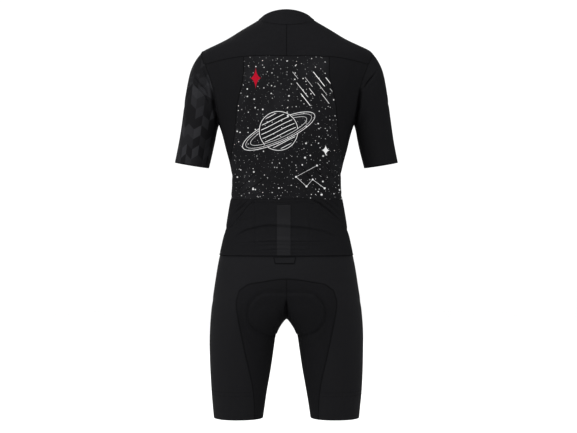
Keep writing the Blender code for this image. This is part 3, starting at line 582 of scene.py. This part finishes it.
def stars(spacing, largest, rarity):
    """White dots of uneven size, one at most in each cell of an uneven net."""
    inputs = {"Vector": printed.joined(x, z), "Scale": 1 / spacing, "Randomness": 1.0}
    cells = printed.node("ShaderNodeTexVoronoi", {"voronoi_dimensions": "2D", "feature": "F1"}, inputs)
    luck = printed.split(cells.outputs["Color"])[0]
    radius = (luck**rarity) * (largest / spacing)
    return (radius - Number(printed, cells.outputs["Distance"])).rises(-0.04, 0.02)


INK_EDGE = 0.0003


def within(distance, limit):
    """1 where a distance is under its limit, with the ink's soft edge."""
    return distance.rises(limit + INK_EDGE, limit - INK_EDGE)


def from_point(centre):
    """The distance to a point of the back."""
    dx = x - centre[0]
    dz = z - centre[1]
    return (dx * dx + dz * dz) ** 0.5


def stroke(start, end, width):
    """A straight printed line between two points."""
    run = (end[0] - start[0], end[1] - start[1])
    length = math.hypot(*run)
    dx = x - start[0]
    dz = z - start[1]
    t = ((dx * run[0] + dz * run[1]) / length**2).most(0.0).least(1.0)
    ex = dx - t * run[0]
    ez = dz - t * run[1]
    return within((ex * ex + ez * ez) ** 0.5, width * 0.5)


PLANET = (0.018, -0.262)
PLANET_RADIUS = 0.044
RING_TILT = math.radians(-24)
OUTER_RING, INNER_RING = (0.09, 0.025), (0.07, 0.0165)
THICK_LINE, THIN_LINE = 0.0013, 0.0008
distance = from_point(PLANET)
dx = x - PLANET[0]
dz = z - PLANET[1]
along_ring = dx * math.cos(RING_TILT) + dz * math.sin(RING_TILT)
across_ring = dz * math.cos(RING_TILT) - dx * math.sin(RING_TILT)


def ellipse(long, short):
    """How far outside (above 0) or inside an ellipse round the planet a point lies, in metres."""
    u = along_ring / long
    v = across_ring / short
    reach = (u * u + v * v) ** 0.5
    u = u / long
    v = v / short
    return (reach - 1.0) * reach / (u * u + v * v) ** 0.5


in_disc = within(distance, PLANET_RADIUS)
behind = across_ring.rises(-INK_EDGE, INK_EDGE)
rings = within(abs(ellipse(*OUTER_RING)), THICK_LINE * 0.5)
for ring in ((0.082, 0.0215), INNER_RING):
    rings = rings.most(within(abs(ellipse(*ring)), THIN_LINE * 0.5))
print_and_reflection_bands = abs((across_ring / 0.0095 + (along_ring * 60).sine() * 0.12).fraction() - 0.5).rises(0.41, 0.44)
print_and_reflection_bands = print_and_reflection_bands * distance.rises(PLANET_RADIUS - 0.003, PLANET_RADIUS - 0.005)
ball = within(abs(distance - PLANET_RADIUS), THICK_LINE * 0.5).most(print_and_reflection_bands)
in_front = ellipse(*OUTER_RING).rises(0.0, -0.0004) * ellipse(*INNER_RING).rises(-0.0004, 0.0) * (1.0 - behind)
art = (ball * (1.0 - in_front)).most(rings * (1.0 - in_disc * behind))

for k in range(10):
    start = (-0.014 - 0.0095 * k, -0.128 - 0.0125 * (k * 7 % 5))
    length = 0.02 + 0.007 * (k * 3 % 4)
    end = (start[0] - 0.62 * length, start[1] - 0.78 * length)
    art = art.most(stroke(start, end, 0.0008 + 0.0004 * (k % 3)))

SKY_LINE = [(-0.088, -0.392), (-0.06, -0.372), (-0.046, -0.388), (-0.022, -0.366), (-0.07, -0.34)]
for start, end in zip(SKY_LINE, SKY_LINE[1:]):
    art = art.most(stroke(start, end, 0.0009))
for point in SKY_LINE:
    art = art.most(within(from_point(point), 0.0022))

white = art.most(stars(0.011, 0.001, 4.0)).most(stars(0.018, 0.0015, 3.0)).most(stars(0.04, 0.0021, 4.0))


def four_points(centre, wide, tall):
    """A star of four points with hollow sides."""
    reach = (abs(x - centre[0]) / wide) ** 0.6 + (abs(z - centre[1]) / tall) ** 0.6
    return reach.rises(1.03, 0.97)


bright = four_points((-0.09, -0.305), 0.01, 0.013)
red_star = four_points((0.07, -0.142), 0.013, 0.026)
haze = printed.noise(22.0, 4.0).rises(0.45, 0.75)
INK = (0.62, 0.62, 0.62, 1.0)
RED_INK = (0.24, 0.006, 0.018, 1.0)
ground = printed.mixed(loops, grey(0.007), grey(0.0118))
ground = printed.mixed(haze * 0.5, ground, grey(0.017))
inked = printed.mixed(white.most(bright) * (0.7 + 0.3 * loops), ground, INK)
printed.set(Base_Color=printed.mixed(red_star, inked, RED_INK))
printed.bump(loops, 0.00016)
cut_out("suit_back", jersey, JERSEY, "back_panel", printed)


# -------------------- sleeves
# Close-fitting sleeves of a smoother knit. The left one has a tone-on-tone pattern of leaning blocks in four
# greys, and both end in a clean cut edge.

SLEEVE_AXIS = {"left": (Vector((0.205, -0.004, -0.16)), Vector((0.2235, -0.021, -0.336)))}
SLEEVE_AXIS["right"] = tuple(Vector((-p.x, p.y, p.z)) for p in SLEEVE_AXIS["left"])
SLEEVE_RADIUS = 0.055


def round_sleeve(points, side):
    """Cloth coordinates round one sleeve and up it."""
    top, foot = (np.array(p) for p in SLEEVE_AXIS[side])
    down = (foot - top) / np.linalg.norm(foot - top)
    along = (points - top) @ down
    aside = points - top - along[:, None] * down
    turn = np.arctan2(aside[:, 0] * (1 if side == "left" else -1), aside[:, 1])
    return np.column_stack([turn * SLEEVE_RADIUS, -along])


sleeve_knit = knitted("smooth sleeve knit", 0.0094, 0.8, 0.001, 0.0008, 0.00012)
BLOCK_WIDE, BLOCK_TALL, BLOCK_LEAN = 0.015, 0.0235, 0.0115
blocks = Paint("blocks sleeve knit", 0.02, 0.62)
across, up = blocks.cloth()
loops = stitches(across, up, 0.001, 0.0008)
column = (across / BLOCK_WIDE).floor()
slope = abs((across / (2 * BLOCK_WIDE)).fraction() * 2 - 1)
row = ((up + slope * BLOCK_LEAN + 0.008) / BLOCK_TALL).floor()
cell = {"Vector": blocks.joined(column + 11, row + 4)}
luck = Number(blocks, blocks.node("ShaderNodeTexWhiteNoise", {"noise_dimensions": "2D"}, cell).outputs[0])
# Near the shoulder the lighter greys drop out of the blocks: painted shade that keeps the top of the sleeve dark
# where the light falls strongest.
height = blocks.place()[2]
luck = luck * (0.62 + 0.38 * height.rises(-0.1, -0.17))
tone = grey(0.009)
for share, lighter in ((0.36, 0.014), (0.62, 0.019), (0.84, 0.0245)):
    tone = blocks.mixed(luck.rises(share, share + 0.02), tone, grey(lighter))
blocks.set(Base_Color=blocks.mixed(loops, blocks.mixed(0.3, tone, grey(0.004)), tone))
blocks.bump(loops, 0.00012)
for side, finish, slot in (("left", blocks, "patterned_sleeve_knit"), ("right", sleeve_knit, "sleeve_knit")):
    cut_out(f"suit_sleeve_{side}", jersey, JERSEY, f"sleeve_{side}", finish,
            (round_sleeve, side))


# -------------------- pockets, reflective strip
# The pockets are one panel of the same knit sewn over the lower back, slanted at both sides, with two stitched
# lines that part them. A strip of grey reflective film runs down beside the middle.

pockets = rounded(sew(["pocket_panel"]), 4)
creased(pockets, CREASES, hem_lip(pockets))
cut_out("suit_pockets", pockets, None, "pocket_panel", jersey_knit)

STRIP_WALL = 0.0005
strip_mesh = rounded(outer_face("reflective_strip", STRIP_WALL), 3)
creased(strip_mesh, CREASES, hem_lip(strip_mesh))
film = Paint("reflective film", 0.018, 0.5, shine=0.03)
height = film.place()[2]
weave = film.noise(900.0)
# The film's grey follows its fine weave and, in faint lighter bands across the strip, a painted reflection.
print_and_reflection_bands = film.noise(1.0, vector=film.joined(0.0, height * 60.0))
film.greys(weave * 0.5 + print_and_reflection_bands * 0.5, 0.0088, 0.0125)
film.bump(weave, 0.00004, 0.5)
cut_out("suit_reflective_strip", strip_mesh, None, "reflective_strip", film,
        wall=STRIP_WALL * 0.8)


# -------------------- shorts
# The legs are denser, faintly shiny knit: one wide hip piece that wraps both legs and the back of the waist, two
# seat pieces and two front pieces. The seat pad sewn inside shows through as a raised shape with stitched edges.

SHORTS = ("hip_panel", "seat_left", "seat_right", "shorts_front_left", "shorts_front_right")
PAD_LEFT = [
    (0.0, -0.629), (0.048, -0.63), (0.07, -0.64), (0.085, -0.66), (0.088, -0.685),
    (0.081, -0.705), (0.066, -0.721), (0.042, -0.731), (0.0, -0.735),
]
PAD_RISE = 0.003
PAD_EDGE = 0.0045
PAD_TROUGH, PAD_TROUGH_WIDTH = 0.0024, 0.0032
PAD_DOMES = (((0.043, -0.69), 0.029, 0.0034), ((-0.04, -0.688), 0.03, 0.003))
pad_outline = curve_through(PAD_LEFT + [(-x, z) for x, z in reversed(PAD_LEFT[:-1])], 8)


def pad_relief(points, normals):
    """How far the seat pad pushes the cloth out behind: a flat step with soft edges and two low domes on it."""
    flat = points[:, (0, 2)]
    inside = np.zeros(len(flat), bool)
    near = np.full(len(flat), 1e9)
    for a, b in zip(pad_outline, np.roll(pad_outline, -1, axis=0)):
        crosses = (a[1] > flat[:, 1]) != (b[1] > flat[:, 1])
        rise = b[1] - a[1] if b[1] != a[1] else 1e-9
        inside ^= crosses & (flat[:, 0] < (b[0] - a[0]) * (flat[:, 1] - a[1]) / rise + a[0])
        run = b - a
        t = np.clip((flat - a) @ run / max(run @ run, 1e-12), 0, 1)
        near = np.minimum(near, np.linalg.norm(flat - a - t[:, None] * run, axis=1))
    depth = np.where(inside, near, -near)
    step = np.clip(depth / PAD_EDGE, -0.2, 1)
    out = PAD_RISE * np.clip(step, 0, 1) ** 0.8 - PAD_TROUGH * np.exp(-((depth / PAD_TROUGH_WIDTH) ** 2))
    for middle, radius, height in PAD_DOMES:
        away = np.linalg.norm((flat - middle) / radius, axis=1)
        out += height * np.clip(1.12 - away**2, 0, 1) ** 0.45
    return out * np.clip(normals[:, 1] * 3 + 0.6, 0, 1) * (points[:, 1] > -0.005)


SHORTS_CREASES = [
    (BACK, 26, -80, (4, -6460), (6, -6720), (8, -7040)),
    (BACK, 40, -22, (980, -6550), (1010, -6900), (940, -7220), (760, -7450), (600, -7520)),
    (BACK, 40, -18, (-930, -6550), (-960, -6900), (-900, -7220), (-720, -7430), (-560, -7500)),
    (BACK, 120, -10, (1180, -6400), (1350, -7000), (1370, -7600)),
    (BACK, 120, -10, (-1170, -6400), (-1330, -7050), (-1360, -7700)),
    (BACK, 40, -10, (850, -7520), (620, -7620), (420, -7570)),
    (BACK, 40, -10, (-850, -7480), (-620, -7590), (-420, -7540)),
    (BACK, 40, 9, (700, -7480), (520, -7520), (380, -7460)),
    (BACK, 40, 9, (-700, -7450), (-520, -7490), (-380, -7430)),
    (FRONT, 60, -11, (850, -7000), (550, -7150), (250, -7120)),
    (FRONT, 60, -11, (-860, -6960), (-560, -7120), (-260, -7100)),
    (FRONT, 90, -10, (1200, -6400), (800, -6680), (400, -6840)),
    (FRONT, 90, -10, (-1210, -6440), (-820, -6700), (-420, -6860)),
    (LEFT, 90, -8, (600, -6400), (0, -6550), (-600, -6450)),
    (RIGHT, 90, -8, (600, -6440), (0, -6580), (-600, -6480)),
]
shorts = rounded(sew(SHORTS), 3)
points, normals = per_point(shorts), per_point(shorts, "normal")
place(shorts, points + normals * pad_relief(points, normals)[:, None])
creased(shorts, SHORTS_CREASES, -0.25 * hem_lip(shorts))

DENSE = (0.0009, 0.0007, 0.0001)
GRIP_TOP = -0.861
shorts_knit = knitted("dense shorts knit", 0.0108, 0.68, *DENSE, spread=0.1, shine=0.02, grip_top=GRIP_TOP)
seat_knit = knitted("seat knit", 0.0092, 0.8, *DENSE, spread=0.1, grip_top=GRIP_TOP)
LEG_MIDDLE = 0.115
LEG_RADIUS = 0.105
LEG_PARTS = (-0.6, -0.72)


def round_leg(points, start):
    """Cloth coordinates round the waist, that turn into coordinates round each leg further down."""
    share = np.clip((points[:, 2] - LEG_PARTS[0]) / (LEG_PARTS[1] - LEG_PARTS[0]), 0, 1)
    side = np.where(points[:, 0] >= 0, 1.0, -1.0)
    across = np.abs(points[:, 0]) - LEG_MIDDLE * share * share * (3 - 2 * share)
    turn = (np.arctan2(points[:, 1], across) - start + np.pi) % (2 * np.pi) - np.pi
    return np.column_stack([side * turn * LEG_RADIUS, points[:, 2]])


cut_out("suit_hips", shorts, SHORTS, "hip_panel", shorts_knit,
        (round_leg, AT_LEFT))
for side in ("left", "right"):
    cut_out(f"suit_seat_{side}", shorts, SHORTS, f"seat_{side}", seat_knit,
            (round_leg, AT_BACK))
    cut_out(f"suit_thigh_{side}", shorts, SHORTS, f"shorts_front_{side}", shorts_knit,
            (round_leg, AT_FRONT))


# -------------------- leg grippers
# A wide elastic band, ribbed on the inside, is fused inside each leg hem and keeps it from riding up. It shows
# from below, and its upper edge is stitched through the leg in two rows.

GRIPPER_WALL = 0.001
elastic = Paint("ribbed elastic", 0.012, 0.75)
across, up = elastic.cloth()
ribs = abs((up * (math.pi / 0.0028)).sine())
dots = abs((across * (math.pi / 0.004)).sine())
elastic.greys(ribs * dots, 0.007, 0.018)
elastic.bump(ribs * (0.6 + 0.4 * dots), 0.0004)
for side in ("left", "right"):
    band = rounded(outer_face(f"leg_gripper_{side}", GRIPPER_WALL), 2)
    cut_out(f"suit_gripper_{side}", band, None, f"leg_gripper_{side}", elastic,
            (round_leg, AT_BACK), GRIPPER_WALL * 0.8)


# -------------------- waist label
# A small blank woven label in the shape of a shallow wedge, with a darker border, is sewn under the jersey's hem at
# the back.

label_cloth = Paint("woven label cloth", 0.01, 0.7)
lx, _, lz = label_cloth.place()
LABEL_THREADS = 0.0006
BORDER, SLANT = 0.004, 0.26
threads = abs((lx * (math.pi / LABEL_THREADS)).sine()) * abs((lz * (math.pi / LABEL_THREADS)).sine())
low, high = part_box("waist_label")
slant = (lz - low.z) * SLANT
inner = (lz - low.z).rises(0.0018, 0.0024) * (high.z - lz).rises(0.0008, 0.0012)
for inwards in (lx - (low.x + BORDER) + slant, (high.x - BORDER) - lx + slant):
    inner = inner * inwards.rises(0.0014, 0.002)
ground = label_cloth.mixed(inner, grey(0.0036), grey(0.0115))
label_cloth.set(Base_Color=label_cloth.mixed(threads * 0.5, ground, grey(0.006)))
label_cloth.bump(threads, 0.0001, 0.7)
label = rounded(outer_face("waist_label", STRIP_WALL), 3)
cut_out("suit_label", label, None, "waist_label", label_cloth,
        wall=STRIP_WALL * 0.8)


# -------------------- seams
# The pieces are joined by flat seams. Each shows as a narrow cover of thread: two needle rows with a third thread
# that runs to and fro between them, a little darker than the knit.

SEAM_SECTION = [(-0.0021, -0.0002), (-0.0011, 0.00022), (0.0, 0.00028), (0.0011, 0.00022), (0.0021, -0.0002)]
NEEDLE_ROWS = 0.0014


def thread(name, tone, roughness):
    """A thread's paint, and how far along and aside of its row a point lies."""
    paint = Paint(name, tone, roughness)
    return paint, *paint.cloth()


def to_and_fro(along, aside, pitch, reach, soft, hard):
    """One thread that runs from side to side of a row."""
    swing = abs((along / pitch).fraction() * 2 - 1) * 2 - 1
    return abs(aside - swing * reach).rises(soft, hard)


def laid_on(paint, threads, between, on, depth, strength=0.9):
    """Gives the ground between the threads one grey and the threads another, and raises them."""
    paint.greys(threads, between, on)
    paint.bump(threads, depth, strength)


seam_thread, along, aside = thread("seam thread", 0.006, 0.7)
cover = to_and_fro(along, aside, 0.003, NEEDLE_ROWS, 0.0004, 0.0001)
needle = abs(abs(aside) - NEEDLE_ROWS).rises(0.0004, 0.0001)
needle = needle * abs((along / 0.0024).fraction() - 0.5).rises(0.46, 0.4)
laid_on(seam_thread, cover.most(needle), 0.0035, 0.01, 0.00025)


def chained(edges):
    """Edges joined end to end, as lists of points in order. A closed line repeats its first point."""
    links = {}
    for edge in edges:
        for vert in edge.verts:
            links.setdefault(vert, []).append(edge)
    left = dict.fromkeys(edges)
    lines = []
    for start in [vert for vert in links if len(links[vert]) != 2] + list(links):
        while any(edge in left for edge in links[start]):
            vert, line = start, [start.co.copy()]
            while len(line) == 1 or len(links[vert]) == 2:
                follow = next((edge for edge in links[vert] if edge in left), None)
                if follow is None:
                    break
                del left[follow]
                vert = follow.other_vert(vert)
                line.append(vert.co.copy())
            lines.append(line)
    return [line for line in lines if len(line) > 3]


def lines_on(skin, choose):
    """The lines along the lists of edges that a function chooses on a skin."""
    whole = opened(skin)
    lines = [line for edges in choose(whole) for line in chained(edges)]
    whole.free()
    return lines


def seams(whole):
    """The edges where two pieces of a skin meet, pair by pair."""
    pairs = {}
    for edge in whole.edges:
        numbers = tuple(sorted({face.material_index for face in edge.link_faces}))
        if len(numbers) == 2:
            pairs.setdefault(numbers, []).append(edge)
    return pairs.values()


def border_above(whole, height):
    """The open borders of a skin that lie above a height."""
    return [[e for e in whole.edges if e.is_boundary and min(v.co.z for v in e.verts) > height]]


def level(whole, height):
    """The edges of a cut round a skin at a height."""
    every = whole.verts[:] + whole.edges[:] + whole.faces[:]
    cut = bmesh.ops.bisect_plane(whole, geom=every, plane_co=(0, 0, height), plane_no=(0, 0, 1))["geom_cut"]
    return [[part for part in cut if isinstance(part, bmesh.types.BMEdge)]]


def surface(mesh):
    """A skin in the form that lines are cast onto."""
    return BVHTree.FromPolygons([v.co for v in mesh.vertices], [p.vertices for p in mesh.polygons])


def drawn_on(mesh, line, facing):
    """A line of (across, height) laid on the back or front of a skin, left out where the skin isn't met."""
    tree = surface(mesh)
    runs = [[]]
    for across, height in line:
        met, normal, _, _ = tree.ray_cast(Vector((across, facing[1], height)), -Vector(facing))
        if met and met.y * facing[1] > 0 and normal.y * facing[1] > 0.1:
            runs[-1].append(met)
        elif runs[-1]:
            runs.append([])
    return [run for run in runs if len(run) > 3]


def upright_rows(mesh, facing, across, top, foot, count):
    """Straight rows down a skin, one at each of these places across it."""
    rows = [[(at, height) for height in np.linspace(top, foot, count)] for at in across]
    return [run for row in rows for run in drawn_on(mesh, row, facing)]


def ribbon(mesh, uv_layer, line, tree, normals, section):
    """Adds a strip along a line on the cloth, with this cross-section: (aside, out) from one side to the other."""
    closed = (line[0] - line[-1]).length < 1e-6
    long, wide = len(line) - 1, len(section) - 1
    made = bmesh.ops.create_grid(mesh, x_segments=long, y_segments=wide, size=0.5)["verts"]
    far = [0.0]
    for a, b in zip(line, line[1:]):
        far.append(far[-1] + (b - a).length)
    uv = {}
    for k, point in enumerate(line):
        before = line[k - 1] if k else (line[-2] if closed else line[0])
        after = line[k + 1] if k + 1 < len(line) else (line[1] if closed else line[-1])
        out = Vector(normals[tree.find(point)[1]])
        across = out.cross(after - before).normalized()
        for j, (aside, height) in enumerate(section):
            vert = made[j * len(line) + k]
            vert.co = point + across * aside + out * height
            uv[vert] = (far[k], aside)
    for face in {face for vert in made for face in vert.link_faces}:
        face.smooth = True
        for loop in face.loops:
            loop[uv_layer].uv = uv[loop.vert]


def sewn(name, skin, lines, section, paint):
    """One piece of thread or binding along all these lines of a skin."""
    points, normals = per_point(skin), per_point(skin, "normal")
    tree = KDTree(len(points))
    for k, point in enumerate(points):
        tree.insert(point, k)
    tree.balance()
    mesh = bmesh.new()
    layer = mesh.loops.layers.uv.new("cloth")
    for line in lines:
        ribbon(mesh, layer, line, tree, normals, section)
    piece = made_of(name, mesh, paint)
    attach(piece, "suit")


sewn("jersey_seams", jersey, lines_on(jersey, seams), SEAM_SECTION, seam_thread)
flat_thread, along, aside = thread("flat seam thread", 0.008, 0.75)
laid_on(flat_thread, to_and_fro(along, aside, 0.003, 0.0011, 0.00055, 0.00015), 0.004, 0.009, 0.00012)
FLAT_SECTION = [(aside * 0.85, out) for aside, out in SEAM_SECTION]
sewn("shorts_seams", shorts, lines_on(shorts, seams), FLAT_SECTION, flat_thread)

# The pockets are parted by two thin rows side by side, and their upper edges are bound in their own knit. The seat
# pad is sewn in with a zigzag row that shows on its outline, and each gripper with two narrow rows.
ROW_SECTION = [(-0.0013, -0.0002), (-0.0006, 0.0002), (0.0006, 0.0002), (0.0013, -0.0002)]
THIN_SECTION = [(aside * 0.8, out) for aside, out in ROW_SECTION]
POCKET_LINES = (0.0716, -0.0528)
POCKET_ROWS = 0.0024
POCKET_TOP, POCKET_FOOT, ROW_FOOT = -0.429, -0.54, -0.545
lockstitch, along, aside = thread("lockstitch thread", 0.007, 0.8)
laid_on(lockstitch, abs((along / 0.0026).fraction() - 0.5).rises(0.44, 0.38), 0.0036, 0.01, 0.0002, 0.8)
partings = [across + aside for across in POCKET_LINES for aside in (-POCKET_ROWS, POCKET_ROWS)]
partings = upright_rows(pockets, BACK, partings, POCKET_TOP, ROW_FOOT, 60)
sewn("pocket_stitches", pockets, partings, THIN_SECTION, lockstitch)
mouths = lines_on(pockets, lambda whole: border_above(whole, POCKET_FOOT))
sewn("pocket_binding", pockets, mouths, ROW_SECTION, jersey_knit)

zigzag_thread, along, aside = thread("zigzag thread", 0.005, 0.7)
laid_on(zigzag_thread, to_and_fro(along, aside, 0.0032, 0.0018, 0.0008, 0.0003), 0.0088, 0.004, 0.00025)
pad_edge = np.vstack([pad_outline, pad_outline[:1]])
PAD_SECTION = [(aside * 2.2, out) for aside, out in ROW_SECTION]
sewn("pad_stitches", shorts, drawn_on(shorts, pad_edge, BACK), PAD_SECTION, zigzag_thread)
GRIPPER_ROWS = (-0.8625, -0.8715)
rows = []
for height in GRIPPER_ROWS:
    rows += lines_on(shorts, lambda whole: level(whole, height))
sewn("gripper_stitches", shorts, rows, THIN_SECTION, lockstitch)


# -------------------- zip
# A fine coil zip runs from the collar to below the waist: two woven tapes, small nylon teeth and a lacquered
# metal slider with a pull tab.

tape = Paint("woven zip tape", 0.01, 0.75)
tx, _, tz = tape.place()
ribs = abs((tx * (math.pi / 0.0007)).sine()) * (0.6 + 0.4 * abs((tz * (math.pi / 0.0006)).sine()))
tape.greys(ribs, 0.005, 0.014)
tape.bump(ribs, 0.00012)
nylon = Paint("nylon zip teeth", 0.014, 0.45, shine=0.15)
worn = nylon.noise(400.0)
nylon.greys(worn, 0.01, 0.02)
lacquer = Paint("black lacquer", 0.02, 0.32, shine=0.4, Metallic=0.6)
rubbed = lacquer.noise(500.0, 4.0)
lacquer.greys(rubbed.rises(0.5, 0.8), 0.016, 0.045)
lacquer.set(Roughness=0.26 + 0.16 * rubbed)
for node in ("zip_tape_left", "zip_tape_right", "zip_teeth", "zip_slider", "zip_pull"):
    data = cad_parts[node].data
    data.materials.clear()
    data.materials.append((lacquer if node in ("zip_slider", "zip_pull") else tape).material)

# The coil's teeth lie in turn to the left and right on the strip where the two tapes meet.
TOOTH = (0.0048, 0.0011, 0.0011)
TOOTH_BEVEL, TOOTH_PITCH, TOOTH_REACH = 0.0003, 0.0014, 0.0008
strip = surface(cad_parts["zip_teeth"].data)
low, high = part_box("zip_teeth")
teeth = bmesh.new()
for k in range(int((high.z - low.z) / TOOTH_PITCH) - 1):
    height = high.z - (k + 1) * TOOTH_PITCH
    met = strip.ray_cast(Vector((0, -1, height)), Vector(BACK))[0]
    if not met:
        continue
    centre = Vector((TOOTH_REACH if k % 2 else -TOOTH_REACH, met.y, height))
    cube = bmesh.ops.create_cube(teeth, size=1, matrix=Matrix.LocRotScale(centre, None, Vector(TOOTH)))
    edges = list({edge for vert in cube["verts"] for edge in vert.link_edges})
    bmesh.ops.bevel(teeth, geom=edges, offset=TOOTH_BEVEL, affect="EDGES", segments=1, profile=0.5, material=-1)
coil = made_of("zip_coil", teeth, nylon)
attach(coil, "suit")

# A row of stitches runs down each side of the zip, and the tapes reach on under the fronts' folded edges.
ZIP_ROW = 0.0125
rows = upright_rows(jersey, FRONT, (-ZIP_ROW, ZIP_ROW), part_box("front_left")[1].z, ROW_FOOT, 200)
sewn("zip_stitches", jersey, rows, THIN_SECTION, lockstitch)
EDGE_AT, EDGE_FOOT = 0.0094, -0.546
EDGE_SECTION = [(-0.0034, -0.00125), (0.0, -0.00115), (0.0034, -0.00125)]
rows = upright_rows(jersey, FRONT, (-EDGE_AT, EDGE_AT), high.z, EDGE_FOOT, 220)
sewn("zip_tape_edges", jersey, rows, EDGE_SECTION, tape)

# A small folded tab of knit covers the zip's lower end. It lies level with the cloth on either side of the zip.
TAB_HALF, TAB_TOP, TAB_FOOT = 0.0115, -0.533, -0.5466
TAB_PROUD, TAB_WALL, ZIP_GAP = 0.0007, 0.0006, 0.0098
jersey_surface = surface(jersey)
tab = bmesh.new()
layer = tab.loops.layers.uv.new("cloth")
bmesh.ops.create_grid(tab, x_segments=8, y_segments=6, size=1)
for vert in tab.verts:
    across = vert.co.x * TAB_HALF
    height = TAB_FOOT + (TAB_TOP - TAB_FOOT) * (vert.co.y + 1) / 2
    over_cloth = math.copysign(max(abs(across), ZIP_GAP), across or 1)
    met = jersey_surface.ray_cast(Vector((over_cloth, -1, height)), Vector(BACK))[0]
    vert.co = Vector((across, met.y - TAB_PROUD, height))
for face in tab.faces:
    for loop in face.loops:
        loop[layer].uv = (loop.vert.co.x, loop.vert.co.z)
bmesh.ops.recalc_face_normals(tab, faces=tab.faces)
if tab.faces[0].normal.y > 0:
    bmesh.ops.reverse_faces(tab, faces=tab.faces)
piece = made_of("zip_end_tab", tab, jersey_knit)
walled(piece, TAB_WALL, 1)
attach(piece, "suit")


# -------------------- camera, floor and light
# The suit is seen square on from behind, from the height of its middle, on a plain white sweep of paper in soft
# light from large windows in front, above and at both sides.

camera = added("camera", bpy.data.cameras.new("camera"))
camera.data.lens = 95.6
camera.data.sensor_width = 36
camera.location = (-0.0047, 3.6, -0.457)
camera.rotation_euler = (math.pi / 2, 0, math.pi)
bpy.context.scene.camera = camera

paper = Paint("white paper", 0.3, 0.9, Emission_Color=(1, 1, 1, 1), Emission_Strength=0.72)
paper.set(Base_Color=(0.3, 0.3, 0.3, 1))
FLOOR, SWEEP_RADIUS, SWEEP_CURVE, SWEEP_TOP = -1.05, 7.0, 1.2, 6.0
sweep = bmesh.new()
middle = sweep.verts.new((0, 0, FLOOR))
foot = sweep.verts.new((SWEEP_RADIUS - SWEEP_CURVE, 0, FLOOR))
sweep.edges.new((middle, foot))
centre = (SWEEP_RADIUS - SWEEP_CURVE, 0, FLOOR + SWEEP_CURVE)
turned = bmesh.ops.spin(sweep, geom=[foot], cent=centre, axis=(0, -1, 0), angle=math.radians(90), steps=12)
top = [part for part in turned["geom_last"] if isinstance(part, bmesh.types.BMVert)]
wall = bmesh.ops.extrude_vert_indiv(sweep, verts=top)
wall["verts"][0].co.z = SWEEP_TOP
profile = sweep.verts[:] + sweep.edges[:]
bmesh.ops.spin(sweep, geom=profile, cent=(0, 0, 0), axis=(0, 0, 1), angle=2 * math.pi, steps=64, use_merge=True)
bmesh.ops.remove_doubles(sweep, verts=sweep.verts, dist=1e-4)
bmesh.ops.recalc_face_normals(sweep, faces=sweep.faces)
bmesh.ops.reverse_faces(sweep, faces=sweep.faces)
made_of("paper_sweep", sweep, paper)

LIGHTS = [
    ("window_behind", (0.9, 3.4, 1.9), 1.8, 80.0),
    ("window_left", (3.2, 1.8, 0.3), 1.8, 90.0),
    ("window_right", (-3.4, 1.2, 0.2), 1.8, 56.0),
    ("window_above", (0.3, 0.7, 3.2), 1.6, 130.0),
    ("window_front", (0.8, -3.4, 1.6), 2.0, 90.0),
]
LOOK_AT = Vector((0, 0, -0.45))
for name, spot, size, power in LIGHTS:
    light = bpy.data.lights.new(name, "AREA")
    light.size = size
    light.energy = power
    lamp = added(name, light)
    lamp.location = spot
    lamp.rotation_euler = (LOOK_AT - Vector(spot)).to_track_quat("-Z", "Y").to_euler()

scene = bpy.context.scene
scene.world = bpy.data.worlds.new("studio")
scene.world.use_nodes = True
glow = scene.world.node_tree.nodes["Background"].inputs
glow[0].default_value = (1, 1, 1, 1)
glow[1].default_value = 0.3
scene.view_settings.view_transform = "Standard"
scene.view_settings.gamma = 0.86
